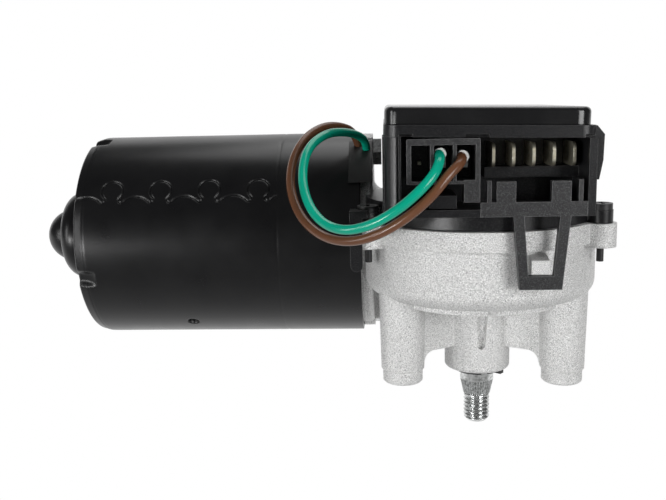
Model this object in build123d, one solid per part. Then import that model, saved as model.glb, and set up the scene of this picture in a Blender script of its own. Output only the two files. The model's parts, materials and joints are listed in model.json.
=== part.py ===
from build123d import *
import os
from math import acos, cos, degrees, pi, radians, sin, sqrt, tan

# A wiper motor: a can motor with a worm gearbox under a plastic cover with sockets.
# The origin is on the output shaft's axis, in the plane of the three mounting legs' ends.
# +X runs from the motor can towards the gearbox, +Y away from the sockets, +Z to the cover.
# All lengths are millimetres and all angles are degrees.

# ---- Clearances -------------------------------------------------------------------------
RUNNING_FIT = 0.04        # radial, shaft in bush
FREE_GAP = 0.3            # between pieces that move past each other
LOOSE_FIT = 0.1           # between fixed pieces that are pushed together
BEYOND = 60.0             # how far a trimming shape reaches past what it trims

# ---- Worm gear pair ---------------------------------------------------------------------
MODULE = 1.25
WHEEL_TEETH = 41
WORM_PITCH_R = 4.375
TOOTH_THICKNESS = 1.5     # of worm thread and wheel tooth, at the pitch line
ADDENDUM = 1.1
DEDENDUM = 1.5
PRESSURE_ANGLE = 20.0
WHEEL_WIDTH = 10.0
WORM_LENGTH = 28.0
WHEEL_PITCH_R = MODULE * WHEEL_TEETH / 2
WORM_PITCH = pi * MODULE

RIM_T = 4.5
WHEEL_RECESS = 5.5
WHEEL_HUB_R = 11.0
DRIVE_PLATE_R = 9.0
DRIVE_PLATE_T = 3.0

# ---- Motor axis, along X ----------------------------------------------------------------
BOWL_R = 34.4             # outside of the gear bowl
MOTOR_Y = WHEEL_PITCH_R + WORM_PITCH_R
MOTOR_Z = 38.5
MOUTH_GAP = 1.4           # from the gear bowl to the can's mouth
CAN_LENGTH = 89.8
CAN_R = 33.6
CAN_WALL = 2.4
CAN_ROUND = 2.2
DRAIN_R = 1.6
DRAIN_FROM_REAR = 34.0
DRAIN_ANGLE = 231.0
STAKE_ANGLES = (20.0, 104.0, 196.0, 290.0)
STAKE_L = 4.4
STAKE_W = 3.6
STAKE_DEPTH = 1.1
CAN_BORE = CAN_R - CAN_WALL
MOUTH_X = -BOWL_R - MOUTH_GAP
CAN_REAR_X = MOUTH_X - CAN_LENGTH

# ---- Mounting legs and shaft boss -------------------------------------------------------
MOUNT_PCD = 54.0
MOUNT_R = MOUNT_PCD / 2
LEG_ANGLES = (90.0, 210.0, 330.0)
LEG_TIP_R = 5.9
LEG_TIP_H = 4.2
LEG_LOW_R = 6.4
LEG_TOP_R = 6.9
LEG_TAP_R = 2.5           # tapping bore of an M6 thread
LEG_TAP_DEPTH = 14.0
LEG_CHAMFER = 0.5
BOSS_R = 10.0
BOSS_END_Z = 0.4
BOSS_ROUND = 1.0
WEB_T = 3.7
WEB_LOW_Z = 8.2
WEB_FILLET = 3.5

# ---- Gear bowl --------------------------------------------------------------------------
BOWL_WALL = 3.2
BOWL_CORNER = 4.5
LIP_R = 28.0
LIP_Z = 23.3
LIP_H = 2.1
PIP_R = 1.65              # the mould's pip on the lip
PIP_X = 1.3
GROOVE_LEFT_X = -1.0      # the groove up the front of the boss
GROOVE_LOW_W = 2.4
GROOVE_TOP_W = 3.7
GROOVE_DEPTH = 1.6
FLOOR_T = 3.7
FLANGE_PROUD = 1.6
FLANGE_Z = 42.5
SEAT_Z = 48.0             # where the cover sits
EAR_OUT = 3.0             # from the bowl's outside to the cover screws' axes
EAR_ANGLES = (-32.0, 22.0, 208.0)
EAR_R = 4.3
EAR_LOW_Z = 41.3
LIP_TOP_Z = LIP_Z + LIP_H
BOWL_FLOOR_Z = LIP_Z + FLOOR_T
BOWL_BORE = BOWL_R - BOWL_WALL
FLANGE_R = BOWL_R + FLANGE_PROUD
EAR_CENTRE_R = BOWL_R + EAR_OUT

# ---- Motor flange and bearing neck of the casting ---------------------------------------
MOTOR_FLANGE_INSET = 2.6  # from the can's outside
MOTOR_FLANGE_T = 3.8
MOTOR_FLANGE_ROUND = 1.5
SPIGOT_L = 4.0
SPIGOT_WALL = 2.4
NECK_R = 14.2
NECK_FILLET = 4.5
NECK_L = 9.3              # from the can's mouth
WORM_TUBE_R = 9.4
WORM_BORE = 7.2
TIE_SCREW_R = 2.5
TIE_GAP = 1.5             # from the can's bore to the tie screws
TIE_LUG_R = 6.0
TIE_HEAD_AF = 8.6
TIE_HEAD_T = 2.8
THRUST_TUBE_R = 7.0
THRUST_SCREW_R = 4.0
THRUST_NUT_AF = 13.0
THRUST_NUT_T = 4.0
SLOT_PROUD = 0.5          # plain end of the thrust screw between its nut and its slot
MOTOR_FLANGE_R = CAN_R - MOTOR_FLANGE_INSET
NECK_END_X = MOUTH_X + NECK_L
TIE_CIRCLE_R = CAN_BORE - TIE_SCREW_R - TIE_GAP

# ---- Shafts and bearings ----------------------------------------------------------------
SHAFT_R = 5.2
SHAFT_THREAD_R = 4.0      # M8 end
SHAFT_TIP_Z = -17.5
THREAD_TOP_Z = -8.6
KNURL_TOP_Z = -3.8
KNURL_TEETH = 36
KNURL_DEPTH = 0.45
SHAFT_BUSH_WALL = 2.2
SHAFT_BUSH_L = 9.0
SEAL_L = 2.8
THRUST_WASHER_T = 1.2
CIRCLIP_T = 0.9
CIRCLIP_R = 6.9
CIRCLIP_GROOVE_R = 4.7
CIRCLIP_TAB_ANGLE = -38.0
THREAD_CHAMFER = 0.8
REAR_JOURNAL_R = 4.0
ARMATURE_SHAFT_R = 5.0
FRONT_JOURNAL_R = 6.0
BEARING_R = 10.5
BEARING_W = 7.0
BEARING_BALLS = 9
BALL_R = 1.5
RING_GAP = 0.75
CAGE_T = 0.8
WORM_TAIL_R = 2.8
TAIL_BUSH_WALL = 1.7
TAIL_BUSH_L = 3.5
THRUST_BALL_R = 2.4

# ---- Motor inner parts ------------------------------------------------------------------
AIR_GAP = 0.8
MAGNET_T = 6.5
STACK_FROM_MOUTH = 28.2
STACK_FROM_REAR = 15.6
SLOTS = 12
SLOT_W = 4.6
SLOT_MOUTH = 2.0
SLOT_BASE_R = 11.0
TOOTH_TIP_T = 1.6
COIL_HEAD_L = 8.0
MAGNET_ARC = 118.0
MAGNET_OVERHANG = 3.0     # past each end of the stack
COMMUTATOR_R = 11.5
COMMUTATOR_L = 11.5
COMMUTATOR_BARS = 12
COMMUTATOR_HUB_R = 7.5
COMMUTATOR_SLIT = 0.5
COMMUTATOR_FROM_MOUTH = 5.5
BRUSH_ANGLES = (0.0, 122.0, 180.0)
BRUSH_W = 5.0
BRUSH_H = 7.0
BRUSH_SHARE = 0.457       # of the way from the commutator to the can's bore
BRUSH_BOX_WALL = 0.6
BRUSH_BOX_GAP = 2.45      # from the can's bore to the brush boxes
PLATE_T = 2.5
PLATE_GAP = 1.0
CHOKE_R = 2.5
CHOKE_L = 12.0
CHOKE_ANGLES = (240.0, 300.0)
CLIP_T = 1.0
SPRING_WIRE_R = 0.3
SPRING_TURNS = 6

# ---- Can end cap ------------------------------------------------------------------------
CAP_T = 2.0
DOME_R = 15.0
DOME_L = 13.0
DOME_ROUND = 5.5
CAP_RIM_L = 4.0
CAP_SHOULDER = 3.0
RETAINER_T = 1.2
NUB_R = 9.0
NUB_L = 7.6
PAD_T = 2.0
REAR_BUSH_R = 8.0
REAR_BUSH_L = 10.0

# ---- Cover ------------------------------------------------------------------------------
RING_INSET = 0.4          # from the bowl's outside
RING_WALL = 2.4
COVER_FLOOR_Z = 52.5
COVER_WALL = 2.0
BOX_LEFT_X = -28.2
BOX_RIGHT_X = 25.5
BOX_FRONT_Y = -38.5
BOX_BACK_Y = 30.0
BOX_TOP_Z = 73.5          # at its left side
LID_TILT = 1.3            # the box's top and the lid drop to the right
BOX_CORNER = 4.0
SOCKET_DEPTH = 18.0
PLUG_BAY_LEFT_X = -23.9
BAND_H = 3.1
CEILING_T = 2.0
LID_TOP_Z = 81.2
LID_INSET = 1.6
LID_WALL = 1.8
POST_R = 3.2
COVER_SCREW_R = 1.5
COVER_SCREW_HEAD_R = 3.0
SCREW_TIP_Z = 37.0
GASKET_W = 1.2
GASKET_H = 1.2

# ---- Connector frame, blades and motor plug ---------------------------------------------
FRAME_T = 2.3
FRAME_LEFT_X = -3.6
BAR_H = 3.8
TAB_TOP_Z = 61.6
TAB_W = 4.9
TAB_XS = (2.9, 16.8)      # tab centres
RIB_TOP_Z = 61.9
RIB_W = 1.1
RIB_XS = (-1.4, 21.7)
LOOP_LEFT_X = 4.7
LOOP_RIGHT_X = 19.5
LOOP_ARM_W = 2.7
LOOP_BOTTOM_Z = 33.2
LOOP_BAR_H = 3.6
LOOP_TAPER = 1.9
LOOP_GAP = 0.2
LUG_W = 4.7
LUG_DEPTH = 3.0
LUG_H = 4.8
LUG_SLOPE = 1.0           # how far the lug's top falls towards its front
BLADE_PITCH = 5.2
FIRST_BLADE_X = 0.25
BLADES = 5
BLADE_T = 0.8
BLADE_H = 6.3
BLADE_Z = 67.9
BLADE_FRONT_Y = -33.0
SHELF_TOP_Z = 64.5
SHELF_T = 2.9
PLUG_LEFT_X = -22.5
PLUG_RIGHT_X = -3.75
PLUG_BOTTOM_Z = 61.2
PLUG_TOP_GAP = 0.15       # under the lowest place of the box's top over the plug
PLUG_DEPTH = 15.0
PLUG_RIM = 1.2
PLUG_TOP_RIM = 1.6
PLUG_WALL = 0.95
CAVITIES = 3
PLUG_FOOT_W = 4.1
PLUG_FOOT_H = 4.8

# ---- Electronics ------------------------------------------------------------------------
BOARD_Z = 57.0
BOARD_T = 1.6
BOARD_GAP = 1.0
STANDOFF_R = 3.0
RELAY_SIZE = (16.0, 20.0, 15.0)
FINGER_RADII = (9.0, 13.0, 17.0)
FINGER_W = 2.2
FINGER_T = 0.5
CONTACT_DISC_R = 20.0
CONTACT_DISC_T = 0.6

# ---- Wires ------------------------------------------------------------------------------
WIRE_D = 2.6
GROMMET_L = 7.4
GROMMET_FROM_TOP = 2.1    # below the can's top
GROMMET_H = 12.0
GROMMET_T = 3.9
GROMMET_PROUD = 0.8
CRIMP_R = 1.6
CRIMP_FRONT_Y = -36.6
CRIMP_OFFSET = -0.7       # from the cavity's middle, towards the motor
GREEN_Z = 68.8
BROWN_Z = 68.1

# ---- Small features of the cover, plug and electronics ----------------------------------
CLIP_W = 3.5
CLIP_LOW_Z = 35.2
POST_TOP_Z = 51.6
COVER_SCREW_HEAD_H = 1.8
COVER_SCREW_CROSS = (4.0, 1.0, 0.8)    # length, width and depth of the cross recess
SCREW_TIP_R = 1.0
EDGE_BAR_W = 0.6
EDGE_GROOVE = (0.6, 0.7)  # width and depth of the groove beside the plug bay's edge bar
SHELF_FRONT_Y = -27.0
TONGUE_X = (-16.8, -9.6)
TONGUE_Z = (54.8, 58.1)
SIDE_RIB_T = 0.5
SIDE_RIB_W = 2.0
SIDE_RIB_PITCH = 9.0
BAND_OVERHANG = 0.2
BAND_SLOTS = ((-24.4, -20.9), (-7.6, -1.6), (22.4, 25.2))
BAND_SLOT_H = 0.8
LID_ROUND = 1.4
HOOK_W = 1.9
HOOK_LOW_Z = 62.8
HOOK_TAPER_H = 5.0
HOOK_L = 9.0
HOOK_FROM_FRONT = 2.0
BLADE_TIP = 2.0
TAIL_GAP = 3.5
TAIL_W = 2.0
PIN_W = 0.9
PIN_Z = 66.0
PIN_REACH = 6.0
PLUG_BACK_T = 1.6
PLUG_FLOOR_T = 0.8
PLUG_FOOT_T = 6.0
CRIMP_L = 7.0
TERMINAL_HALF = 1.2
FINGER_TIP_Y = -2.5
FINGER_ROOT_Y = 8.0
FINGER_TIP_RISE = 1.5
FINGER_KNEE_RISE = 5.1
RELAY_Y = -6.0
WIRE_ENDS = ((-33.8, 12.6, 66.4), (-36.1, 14.2, 67.6))    # inside the grommet

# ---- Places worked out from the sizes above ---------------------------------------------
BUSH_R = SHAFT_R + SHAFT_BUSH_WALL
BEARING_X = MOUTH_X + 0.8
BALL_CIRCLE_R = (BEARING_R + FRONT_JOURNAL_R) / 2
TAIL_BUSH_R = WORM_TAIL_R + TAIL_BUSH_WALL
WORM_TAIL_X = WORM_LENGTH / 2 + FREE_GAP + 7.0
THRUST_BALL_X = WORM_TAIL_X + FREE_GAP + THRUST_BALL_R
THRUST_END_X = THRUST_BALL_X + THRUST_BALL_R + 3.0
WHEEL_LOW_Z = MOTOR_Z - WHEEL_WIDTH / 2
WHEEL_TOP_Z = MOTOR_Z + WHEEL_WIDTH / 2
HUB_LOW_Z = BOWL_FLOOR_Z + FREE_GAP + THRUST_WASHER_T
SHAFT_TOP_Z = WHEEL_TOP_Z + 1.5
CIRCLIP_LOW_Z = BOSS_END_Z - FREE_GAP - CIRCLIP_T
FLOOR_TOP_Z = COVER_FLOOR_Z + COVER_WALL
BAY_BACK_Y = BOX_FRONT_Y + SOCKET_DEPTH
PLUG_REAR_Y = BOX_FRONT_Y + PLUG_DEPTH
ELECTRONICS_Y = BAY_BACK_Y + COVER_WALL
BOARD_TOP_Z = BOARD_Z + BOARD_T
STACK_FRONT_X = MOUTH_X - STACK_FROM_MOUTH
STACK_REAR_X = CAN_REAR_X + STACK_FROM_REAR
STACK_L = STACK_FRONT_X - STACK_REAR_X
MAGNET_R = CAN_BORE - MAGNET_T
MAGNET_L = STACK_L + 2 * MAGNET_OVERHANG
STACK_R = MAGNET_R - AIR_GAP
COMMUTATOR_FRONT_X = MOUTH_X - COMMUTATOR_FROM_MOUTH
BRUSH_L = BRUSH_SHARE * (CAN_BORE - COMMUTATOR_R)
BRUSH_BOX_L = CAN_BORE - BRUSH_BOX_GAP - COMMUTATOR_R - BRUSH_L / 4
DOME_END_X = CAN_REAR_X - DOME_L
NUB_END_X = DOME_END_X - NUB_L
PAD_END_X = NUB_END_X + CAP_T + PAD_T
SPIGOT_END_X = MOUTH_X - SPIGOT_L
PLATE_REAR_X = SPIGOT_END_X - PLATE_T
GROMMET_TOP_Z = MOTOR_Z + CAN_R - GROMMET_FROM_TOP
GROMMET_LOW_Z = GROMMET_TOP_Z - GROMMET_H
RING_R = BOWL_R - RING_INSET
BAND_TOP_Z = BOX_TOP_Z + BAND_H
LID_RIGHT_X = BOX_RIGHT_X - LID_INSET / 2
PLUG_TOP_Z = BOX_TOP_Z - (PLUG_RIGHT_X - BOX_LEFT_X) * tan(radians(LID_TILT)) - PLUG_TOP_GAP
CAVITY_W = (PLUG_RIGHT_X - PLUG_LEFT_X - 2 * PLUG_RIM - (CAVITIES - 1) * PLUG_WALL) / CAVITIES
CAVITY_XS = [PLUG_LEFT_X + PLUG_RIM + CAVITY_W / 2 + i * (CAVITY_W + PLUG_WALL) for i in range(CAVITIES)]
WIRE_XS = [x + CRIMP_OFFSET for x in CAVITY_XS[1:]]
BLADE_XS = [FIRST_BLADE_X + i * BLADE_PITCH for i in range(BLADES)]


# ---- Shape helpers ----------------------------------------------------------------------
def block(x0, x1, y0, y1, z0, z1):
    centre = Pos((x0 + x1) / 2, (y0 + y1) / 2, (z0 + z1) / 2)
    return centre * Box(abs(x1 - x0), abs(y1 - y0), abs(z1 - z0))


def rod_z(radius, z0, z1, x=0.0, y=0.0):
    return Pos(x, y, (z0 + z1) / 2) * Cylinder(radius, abs(z1 - z0))


def rod_x(radius, x0, x1, y=MOTOR_Y, z=MOTOR_Z):
    return Pos((x0 + x1) / 2, y, z) * Rot(0, 90, 0) * Cylinder(radius, abs(x1 - x0))


def rod_y(radius, y0, y1, x, z):
    return Pos(x, (y0 + y1) / 2, z) * Rot(90, 0, 0) * Cylinder(radius, abs(y1 - y0))


def pipe_x(outer, inner, x0, x1):
    return rod_x(outer, x0, x1) - rod_x(inner, x0 - 1, x1 + 1)


def ring_z(outer, inner, z0, z1):
    return rod_z(outer, z0, z1) - rod_z(inner, z0 - 1, z1 + 1)


def cone_z(low_r, top_r, z0, z1, x=0.0, y=0.0):
    return Pos(x, y, (z0 + z1) / 2) * Cone(low_r, top_r, z1 - z0)


def polar(radius, angle):
    return radius * cos(radians(angle)), radius * sin(radians(angle))


def about_motor(angle, shape):
    """Turn a shape about the motor axis; 0 faces back (+Y), 90 faces up, 180 faces front."""
    return Pos(0, MOTOR_Y, MOTOR_Z) * Rot(angle, 0, 0) * Pos(0, -MOTOR_Y, -MOTOR_Z) * shape


def turned_z(*edges):
    """A solid of revolution about Z from edges drawn as (radius, height)."""
    return revolve(Plane.XZ * make_face(Curve() + list(edges)), Axis.Z)


def turned_x(*edges):
    """A solid of revolution about the motor axis from edges drawn as (x, radius)."""
    return Pos(0, MOTOR_Y, MOTOR_Z) * revolve(make_face(Curve() + list(edges)), Axis.X)


def rounded_box(x0, x1, y0, y1, z0, z1, radius):
    """A box with its four upright edges rounded."""
    body = block(x0, x1, y0, y1, z0, z1)
    return fillet(body.edges().filter_by(Axis.Z), radius)


def prism_xz(points, y0, y1):
    """An outline in X and Z, carried from y0 to y1."""
    face = Plane.XZ * make_face(Polyline(*points, close=True))
    return Pos(0, y1, 0) * extrude(face, y1 - y0)


def joined(shapes):
    whole = shapes[0]
    for shape in shapes[1:]:
        whole += shape
    return whole


def apart(shapes):
    """Separate solids kept together in one node."""
    return Compound(children=[solid for shape in shapes for solid in shape.solids()])


# ---- Gear housing -----------------------------------------------------------------------
def bowl():
    corner = (BOWL_R - BOWL_CORNER, LIP_TOP_Z + BOWL_CORNER)
    low = (corner[0], LIP_TOP_Z)
    side = (BOWL_R, corner[1])
    rim = Polyline(side, (BOWL_R, FLANGE_Z), (FLANGE_R, FLANGE_Z), (FLANGE_R, SEAT_Z), (0, SEAT_Z),
                   (0, LIP_Z), (LIP_R, LIP_Z), (LIP_R, LIP_TOP_Z), low)
    return turned_z(rim, CenterArc(corner, BOWL_CORNER, -90, 90))


def leg(angle):
    x, y = polar(MOUNT_R, angle)
    tip = rod_z(LEG_TIP_R, 0, LEG_TIP_H, x, y)
    tip = chamfer(tip.edges().group_by(Axis.Z)[0], LEG_CHAMFER)
    return tip + cone_z(LEG_LOW_R, LEG_TOP_R, LEG_TIP_H, BOWL_FLOOR_Z + 1, x, y)


def boss():
    rod = rod_z(BOSS_R, BOSS_END_Z, BOWL_FLOOR_Z)
    return fillet(rod.edges().group_by(Axis.Z)[0], BOSS_ROUND)


def boss_groove():
    """A shallow groove with a round low end, which widens towards the lip."""
    x0 = GROOVE_LEFT_X
    low = WEB_LOW_Z + GROOVE_LOW_W / 2
    top = LIP_Z + LIP_H / 2
    y0 = -BOSS_R - 1
    y1 = -BOSS_R + GROOVE_DEPTH
    sides = [(x0, low), (x0 + GROOVE_LOW_W, low), (x0 + GROOVE_TOP_W, top), (x0, top)]
    return prism_xz(sides, y0, y1) + rod_y(GROOVE_LOW_W / 2, y0, y1, x0 + GROOVE_LOW_W / 2, low)


def web(angle):
    """The plate from the boss to a leg, with a rounded corner where it meets the leg."""
    side = MOUNT_R - LEG_LOW_R
    low = WEB_LOW_Z - WEB_FILLET
    edge = Polyline((side, low), (MOUNT_R, low), (MOUNT_R, BOWL_FLOOR_Z), (0, BOWL_FLOOR_Z),
                    (0, WEB_LOW_Z), (side - WEB_FILLET, WEB_LOW_Z))
    corner = CenterArc((side - WEB_FILLET, low), WEB_FILLET, 0, 90)
    plate = extrude(Plane.XZ * make_face(Curve() + [edge, corner]), WEB_T / 2, both=True)
    return Rot(0, 0, angle) * plate


def ear(angle):
    x, y = polar(EAR_CENTRE_R, angle)
    bridge = block(BOWL_BORE, EAR_CENTRE_R, -EAR_R, EAR_R, EAR_LOW_Z, SEAT_Z)
    return rod_z(EAR_R, EAR_LOW_Z, SEAT_Z, x, y) + Rot(0, 0, angle) * bridge


def snap_lug():
    """The ramp on the bowl that the cover's loop snaps over."""
    middle = (LOOP_LEFT_X + LOOP_RIGHT_X) / 2
    low = LOOP_BOTTOM_Z + LOOP_BAR_H + LOOP_GAP
    front = BOX_FRONT_Y + FRAME_T - LUG_DEPTH / 2
    points = [(-BOWL_BORE, low), (front, low), (front, low + LUG_H - LUG_SLOPE), (-BOWL_BORE, low + LUG_H)]
    face = Plane.YZ * make_face(Polyline(*points, close=True))
    return Pos(middle - LUG_W / 2, 0, 0) * extrude(face, LUG_W)


def motor_flange():
    """Disc, rounded at its edge, that runs in a hollow curve into the bearing neck."""
    back = MOUTH_X + MOTOR_FLANGE_T
    rim = MOTOR_FLANGE_R - MOTOR_FLANGE_ROUND
    foot = NECK_R + NECK_FILLET
    outline = [
        Polyline((back - MOTOR_FLANGE_ROUND, MOTOR_FLANGE_R), (MOUTH_X, MOTOR_FLANGE_R), (MOUTH_X, 0),
                 (NECK_END_X + NECK_R - WORM_TUBE_R, 0), (NECK_END_X + NECK_R - WORM_TUBE_R, WORM_TUBE_R),
                 (NECK_END_X, NECK_R), (back + NECK_FILLET, NECK_R)),
        CenterArc((back + NECK_FILLET, foot), NECK_FILLET, 180, 90),
        Line((back, foot), (back, rim)),
        CenterArc((back - MOTOR_FLANGE_ROUND, rim), MOTOR_FLANGE_ROUND, 0, 90),
    ]
    return turned_x(*outline)


def tie_places():
    return [(MOTOR_Y, MOTOR_Z + side * TIE_CIRCLE_R) for side in (1, -1)]


def flange_web():
    """The plate under the neck, from the motor flange past the lower tie screw to the back leg."""
    low = MOTOR_Z - TIE_CIRCLE_R - TIE_LUG_R / 4
    back = MOTOR_Y - TIE_HEAD_AF / sqrt(3) - 2 * FREE_GAP
    return block(MOUTH_X + MOTOR_FLANGE_T / 2, 0, back - WEB_T, back, low, MOTOR_Z)


def grommet_shape(grow=0.0):
    """A curved block in the upper front of the can's mouth, where the wires go in."""
    outer = CAN_R + GROMMET_PROUD + grow
    inner = CAN_R - GROMMET_T - grow
    x1 = MOUTH_X + MOTOR_FLANGE_T + grow
    ring = pipe_x(outer, inner, x1 - GROMMET_L - 2 * grow, x1)
    room = block(x1 - BEYOND, x1 + 1, MOTOR_Y - BEYOND, MOTOR_Y, GROMMET_LOW_Z - grow, GROMMET_TOP_Z + grow)
    return ring & room


def gear_housing():
    body = joined([
        bowl(),
        boss(),
        motor_flange(),
        rod_x(WORM_TUBE_R, NECK_END_X, WORM_TAIL_X),
        rod_x(THRUST_TUBE_R, WORM_TAIL_X - 1, THRUST_END_X),
        flange_web(),
        snap_lug(),
        Pos(PIP_X, -LIP_R, LIP_TOP_Z) * Sphere(PIP_R),
    ])
    for angle in LEG_ANGLES:
        body += leg(angle)
        body += web(angle)
    for angle in EAR_ANGLES:
        body += ear(angle)
    for y, z in tie_places():
        body += rod_x(TIE_LUG_R, MOUTH_X, MOUTH_X + MOTOR_FLANGE_T, y, z)
    body -= rod_x(CAN_R + FREE_GAP, MOUTH_X - BEYOND, MOUTH_X)
    body += pipe_x(CAN_BORE - LOOSE_FIT, CAN_BORE - LOOSE_FIT - SPIGOT_WALL, SPIGOT_END_X, MOUTH_X + 1)
    body -= block(BOX_LEFT_X - 2 * FREE_GAP, BEYOND, -BEYOND, BEYOND, SEAT_Z, SEAT_Z + BEYOND)
    body -= rod_z(BOWL_BORE, BOWL_FLOOR_Z, SEAT_Z + 1)
    body -= rod_z(BUSH_R, BOSS_END_Z - 1, BOWL_FLOOR_Z + 1)
    body -= rod_x(BEARING_R, MOUTH_X - 1, BEARING_X + BEARING_W)
    body -= rod_x(FRONT_JOURNAL_R + FREE_GAP, BEARING_X, NECK_END_X + 1)
    body -= rod_x(WORM_BORE, NECK_END_X, WORM_TAIL_X - TAIL_BUSH_L)
    body -= rod_x(TAIL_BUSH_R, WORM_TAIL_X - TAIL_BUSH_L - 1, WORM_TAIL_X)
    body -= rod_x(THRUST_SCREW_R, WORM_TAIL_X - 1, THRUST_END_X + 1)
    body -= boss_groove()
    body -= gasket_ring()
    body -= grommet_shape(LOOSE_FIT)
    for angle in LEG_ANGLES:
        x, y = polar(MOUNT_R, angle)
        body -= rod_z(LEG_TAP_R, -1, LEG_TAP_DEPTH, x, y)
    for angle in EAR_ANGLES:
        x, y = polar(EAR_CENTRE_R, angle)
        body -= rod_z(COVER_SCREW_R, EAR_LOW_Z - 1, SEAT_Z + 1, x, y)
    for y, z in tie_places():
        body -= rod_x(TIE_SCREW_R + LOOSE_FIT, SPIGOT_END_X - 1, MOUTH_X + MOTOR_FLANGE_T + 1, y, z)
    return body


def gasket_ring():
    middle = (BOWL_BORE + BOWL_R) / 2
    return ring_z(middle + GASKET_W / 2, middle - GASKET_W / 2, SEAT_Z - GASKET_H, SEAT_Z)


# ---- Motor ------------------------------------------------------------------------------
def sector_x(outer, inner, x0, x1, middle, span):
    """Part of a pipe along the motor axis, span degrees wide about the angle middle."""
    far = 1.2 * outer
    half = far * tan(radians(span / 2))
    wedge = extrude(Plane.YZ * make_face(Polyline((0, 0), (far, -half), (far, half), close=True)), x1 - x0)
    return pipe_x(outer, inner, x0, x1) & about_motor(middle, Pos(x0, MOTOR_Y, MOTOR_Z) * wedge)


def motor_can():
    can = rod_x(CAN_R, CAN_REAR_X, MOUTH_X)
    can = fillet(can.edges().group_by(Axis.X)[0], CAN_ROUND)
    can -= rod_x(CAN_BORE, CAN_REAR_X - 1, MOUTH_X + 1)
    can -= grommet_shape(LOOSE_FIT)
    drain = rod_z(DRAIN_R, MOTOR_Z, MOTOR_Z + CAN_R + 1, CAN_REAR_X + DRAIN_FROM_REAR, MOTOR_Y)
    can -= about_motor(DRAIN_ANGLE - 90, drain)
    for angle in STAKE_ANGLES:
        x1 = CAN_REAR_X + STAKE_L
        dent = block(CAN_REAR_X - 1, x1, MOTOR_Y - STAKE_W / 2, MOTOR_Y + STAKE_W / 2,
                     MOTOR_Z + CAN_R - STAKE_DEPTH, MOTOR_Z + CAN_R + 1)
        can -= about_motor(angle - 90, dent)
    return can


def dome(inset):
    """The cap's raised middle with its rounded nub, inset from its outside all round."""
    start = CAN_REAR_X + CAP_T
    radius = DOME_R - inset
    end = DOME_END_X + inset
    bend = DOME_ROUND - inset
    ball_x = NUB_END_X + NUB_R
    ball_r = NUB_R - inset
    foot_angle = acos((end - ball_x) / ball_r)
    foot = (end, ball_r * sin(foot_angle))
    return turned_x(
        Line((start, radius), (end + bend, radius)),
        CenterArc((end + bend, radius - bend), bend, 90, 90),
        Line((end, radius - bend), foot),
        CenterArc((ball_x, 0), ball_r, degrees(foot_angle), 180 - degrees(foot_angle)),
        Polyline((ball_x - ball_r, 0), (start, 0), (start, radius)),
    )


def can_end_cap():
    rim = CAN_BORE - LOOSE_FIT
    front = CAN_REAR_X + CAP_RIM_L
    shoulder = DOME_R + CAP_SHOULDER
    cap = turned_x(Polyline((front, 0), (front, rim), (CAN_REAR_X, rim), (CAN_REAR_X, shoulder),
                            (CAN_REAR_X - CAP_SHOULDER, DOME_R), (CAN_REAR_X - CAP_SHOULDER, 0), (front, 0)))
    cap += dome(0)
    cap -= rod_x(rim - CAP_T, CAN_REAR_X + CAP_T, front + 1)
    cap -= dome(CAP_T)
    for y, z in tie_places():
        cap -= rod_x(TIE_SCREW_R, CAN_REAR_X - 1, front + 1, y, z)
    return cap


def rear_bush():
    """A sintered bush, barrel-shaped outside so that it lines itself up."""
    x0 = DOME_END_X + CAP_T + FREE_GAP
    x1 = x0 + REAR_BUSH_L
    bore = REAR_JOURNAL_R + RUNNING_FIT
    bulge = ThreePointArc((x0, REAR_BUSH_R - 1), ((x0 + x1) / 2, REAR_BUSH_R), (x1, REAR_BUSH_R - 1))
    return turned_x(bulge, Polyline((x1, REAR_BUSH_R - 1), (x1, bore), (x0, bore), (x0, REAR_BUSH_R - 1)))


def bush_retainer():
    middle = DOME_END_X + CAP_T + FREE_GAP + REAR_BUSH_L / 2
    return pipe_x(DOME_R - CAP_T, REAR_BUSH_R, middle - RETAINER_T / 2, middle + RETAINER_T / 2)


def thrust_pad():
    ball = Pos(NUB_END_X + NUB_R, MOTOR_Y, MOTOR_Z) * Sphere(NUB_R - CAP_T)
    return ball & rod_x(NUB_R, NUB_END_X, PAD_END_X)


def magnet(angle):
    middle = (STACK_FRONT_X + STACK_REAR_X) / 2
    return sector_x(CAN_BORE, MAGNET_R, middle - MAGNET_L / 2, middle + MAGNET_L / 2, angle, MAGNET_ARC)


def magnet_clip(angle):
    middle = (STACK_FRONT_X + STACK_REAR_X) / 2
    span = 180 - MAGNET_ARC - 1
    return sector_x(CAN_BORE, CAN_BORE - CLIP_T, middle - MAGNET_L / 2, middle + MAGNET_L / 2, angle, span)


def hexagon_x(across_flats, x0, x1, y, z):
    face = Plane.YZ * RegularPolygon(across_flats / sqrt(3), 6)
    return Pos(x0, y, z) * extrude(face, x1 - x0)


def tie_screws():
    seat = MOUTH_X + MOTOR_FLANGE_T
    tip = CAN_REAR_X - CAP_T / 2
    return apart([rod_x(TIE_SCREW_R, tip, seat + 1, y, z)
                  + hexagon_x(TIE_HEAD_AF, seat, seat + TIE_HEAD_T, y, z)
                  for y, z in tie_places()])


def thrust_screw():
    start = THRUST_BALL_X + THRUST_BALL_R
    screw = rod_x(THRUST_SCREW_R, start, THRUST_END_X + THRUST_NUT_T + 1.5)
    slot_x = THRUST_END_X + THRUST_NUT_T + SLOT_PROUD
    return screw - block(slot_x, slot_x + BEYOND, MOTOR_Y - SLOT_PROUD, MOTOR_Y + SLOT_PROUD,
                         MOTOR_Z - BEYOND, MOTOR_Z + BEYOND)


def thrust_nut():
    nut = hexagon_x(THRUST_NUT_AF, THRUST_END_X, THRUST_END_X + THRUST_NUT_T, MOTOR_Y, MOTOR_Z)
    return nut - rod_x(THRUST_SCREW_R, THRUST_END_X - 1, THRUST_END_X + THRUST_NUT_T + 1)


def thrust_ball():
    return Pos(THRUST_BALL_X, MOTOR_Y, MOTOR_Z) * Sphere(THRUST_BALL_R)


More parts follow.
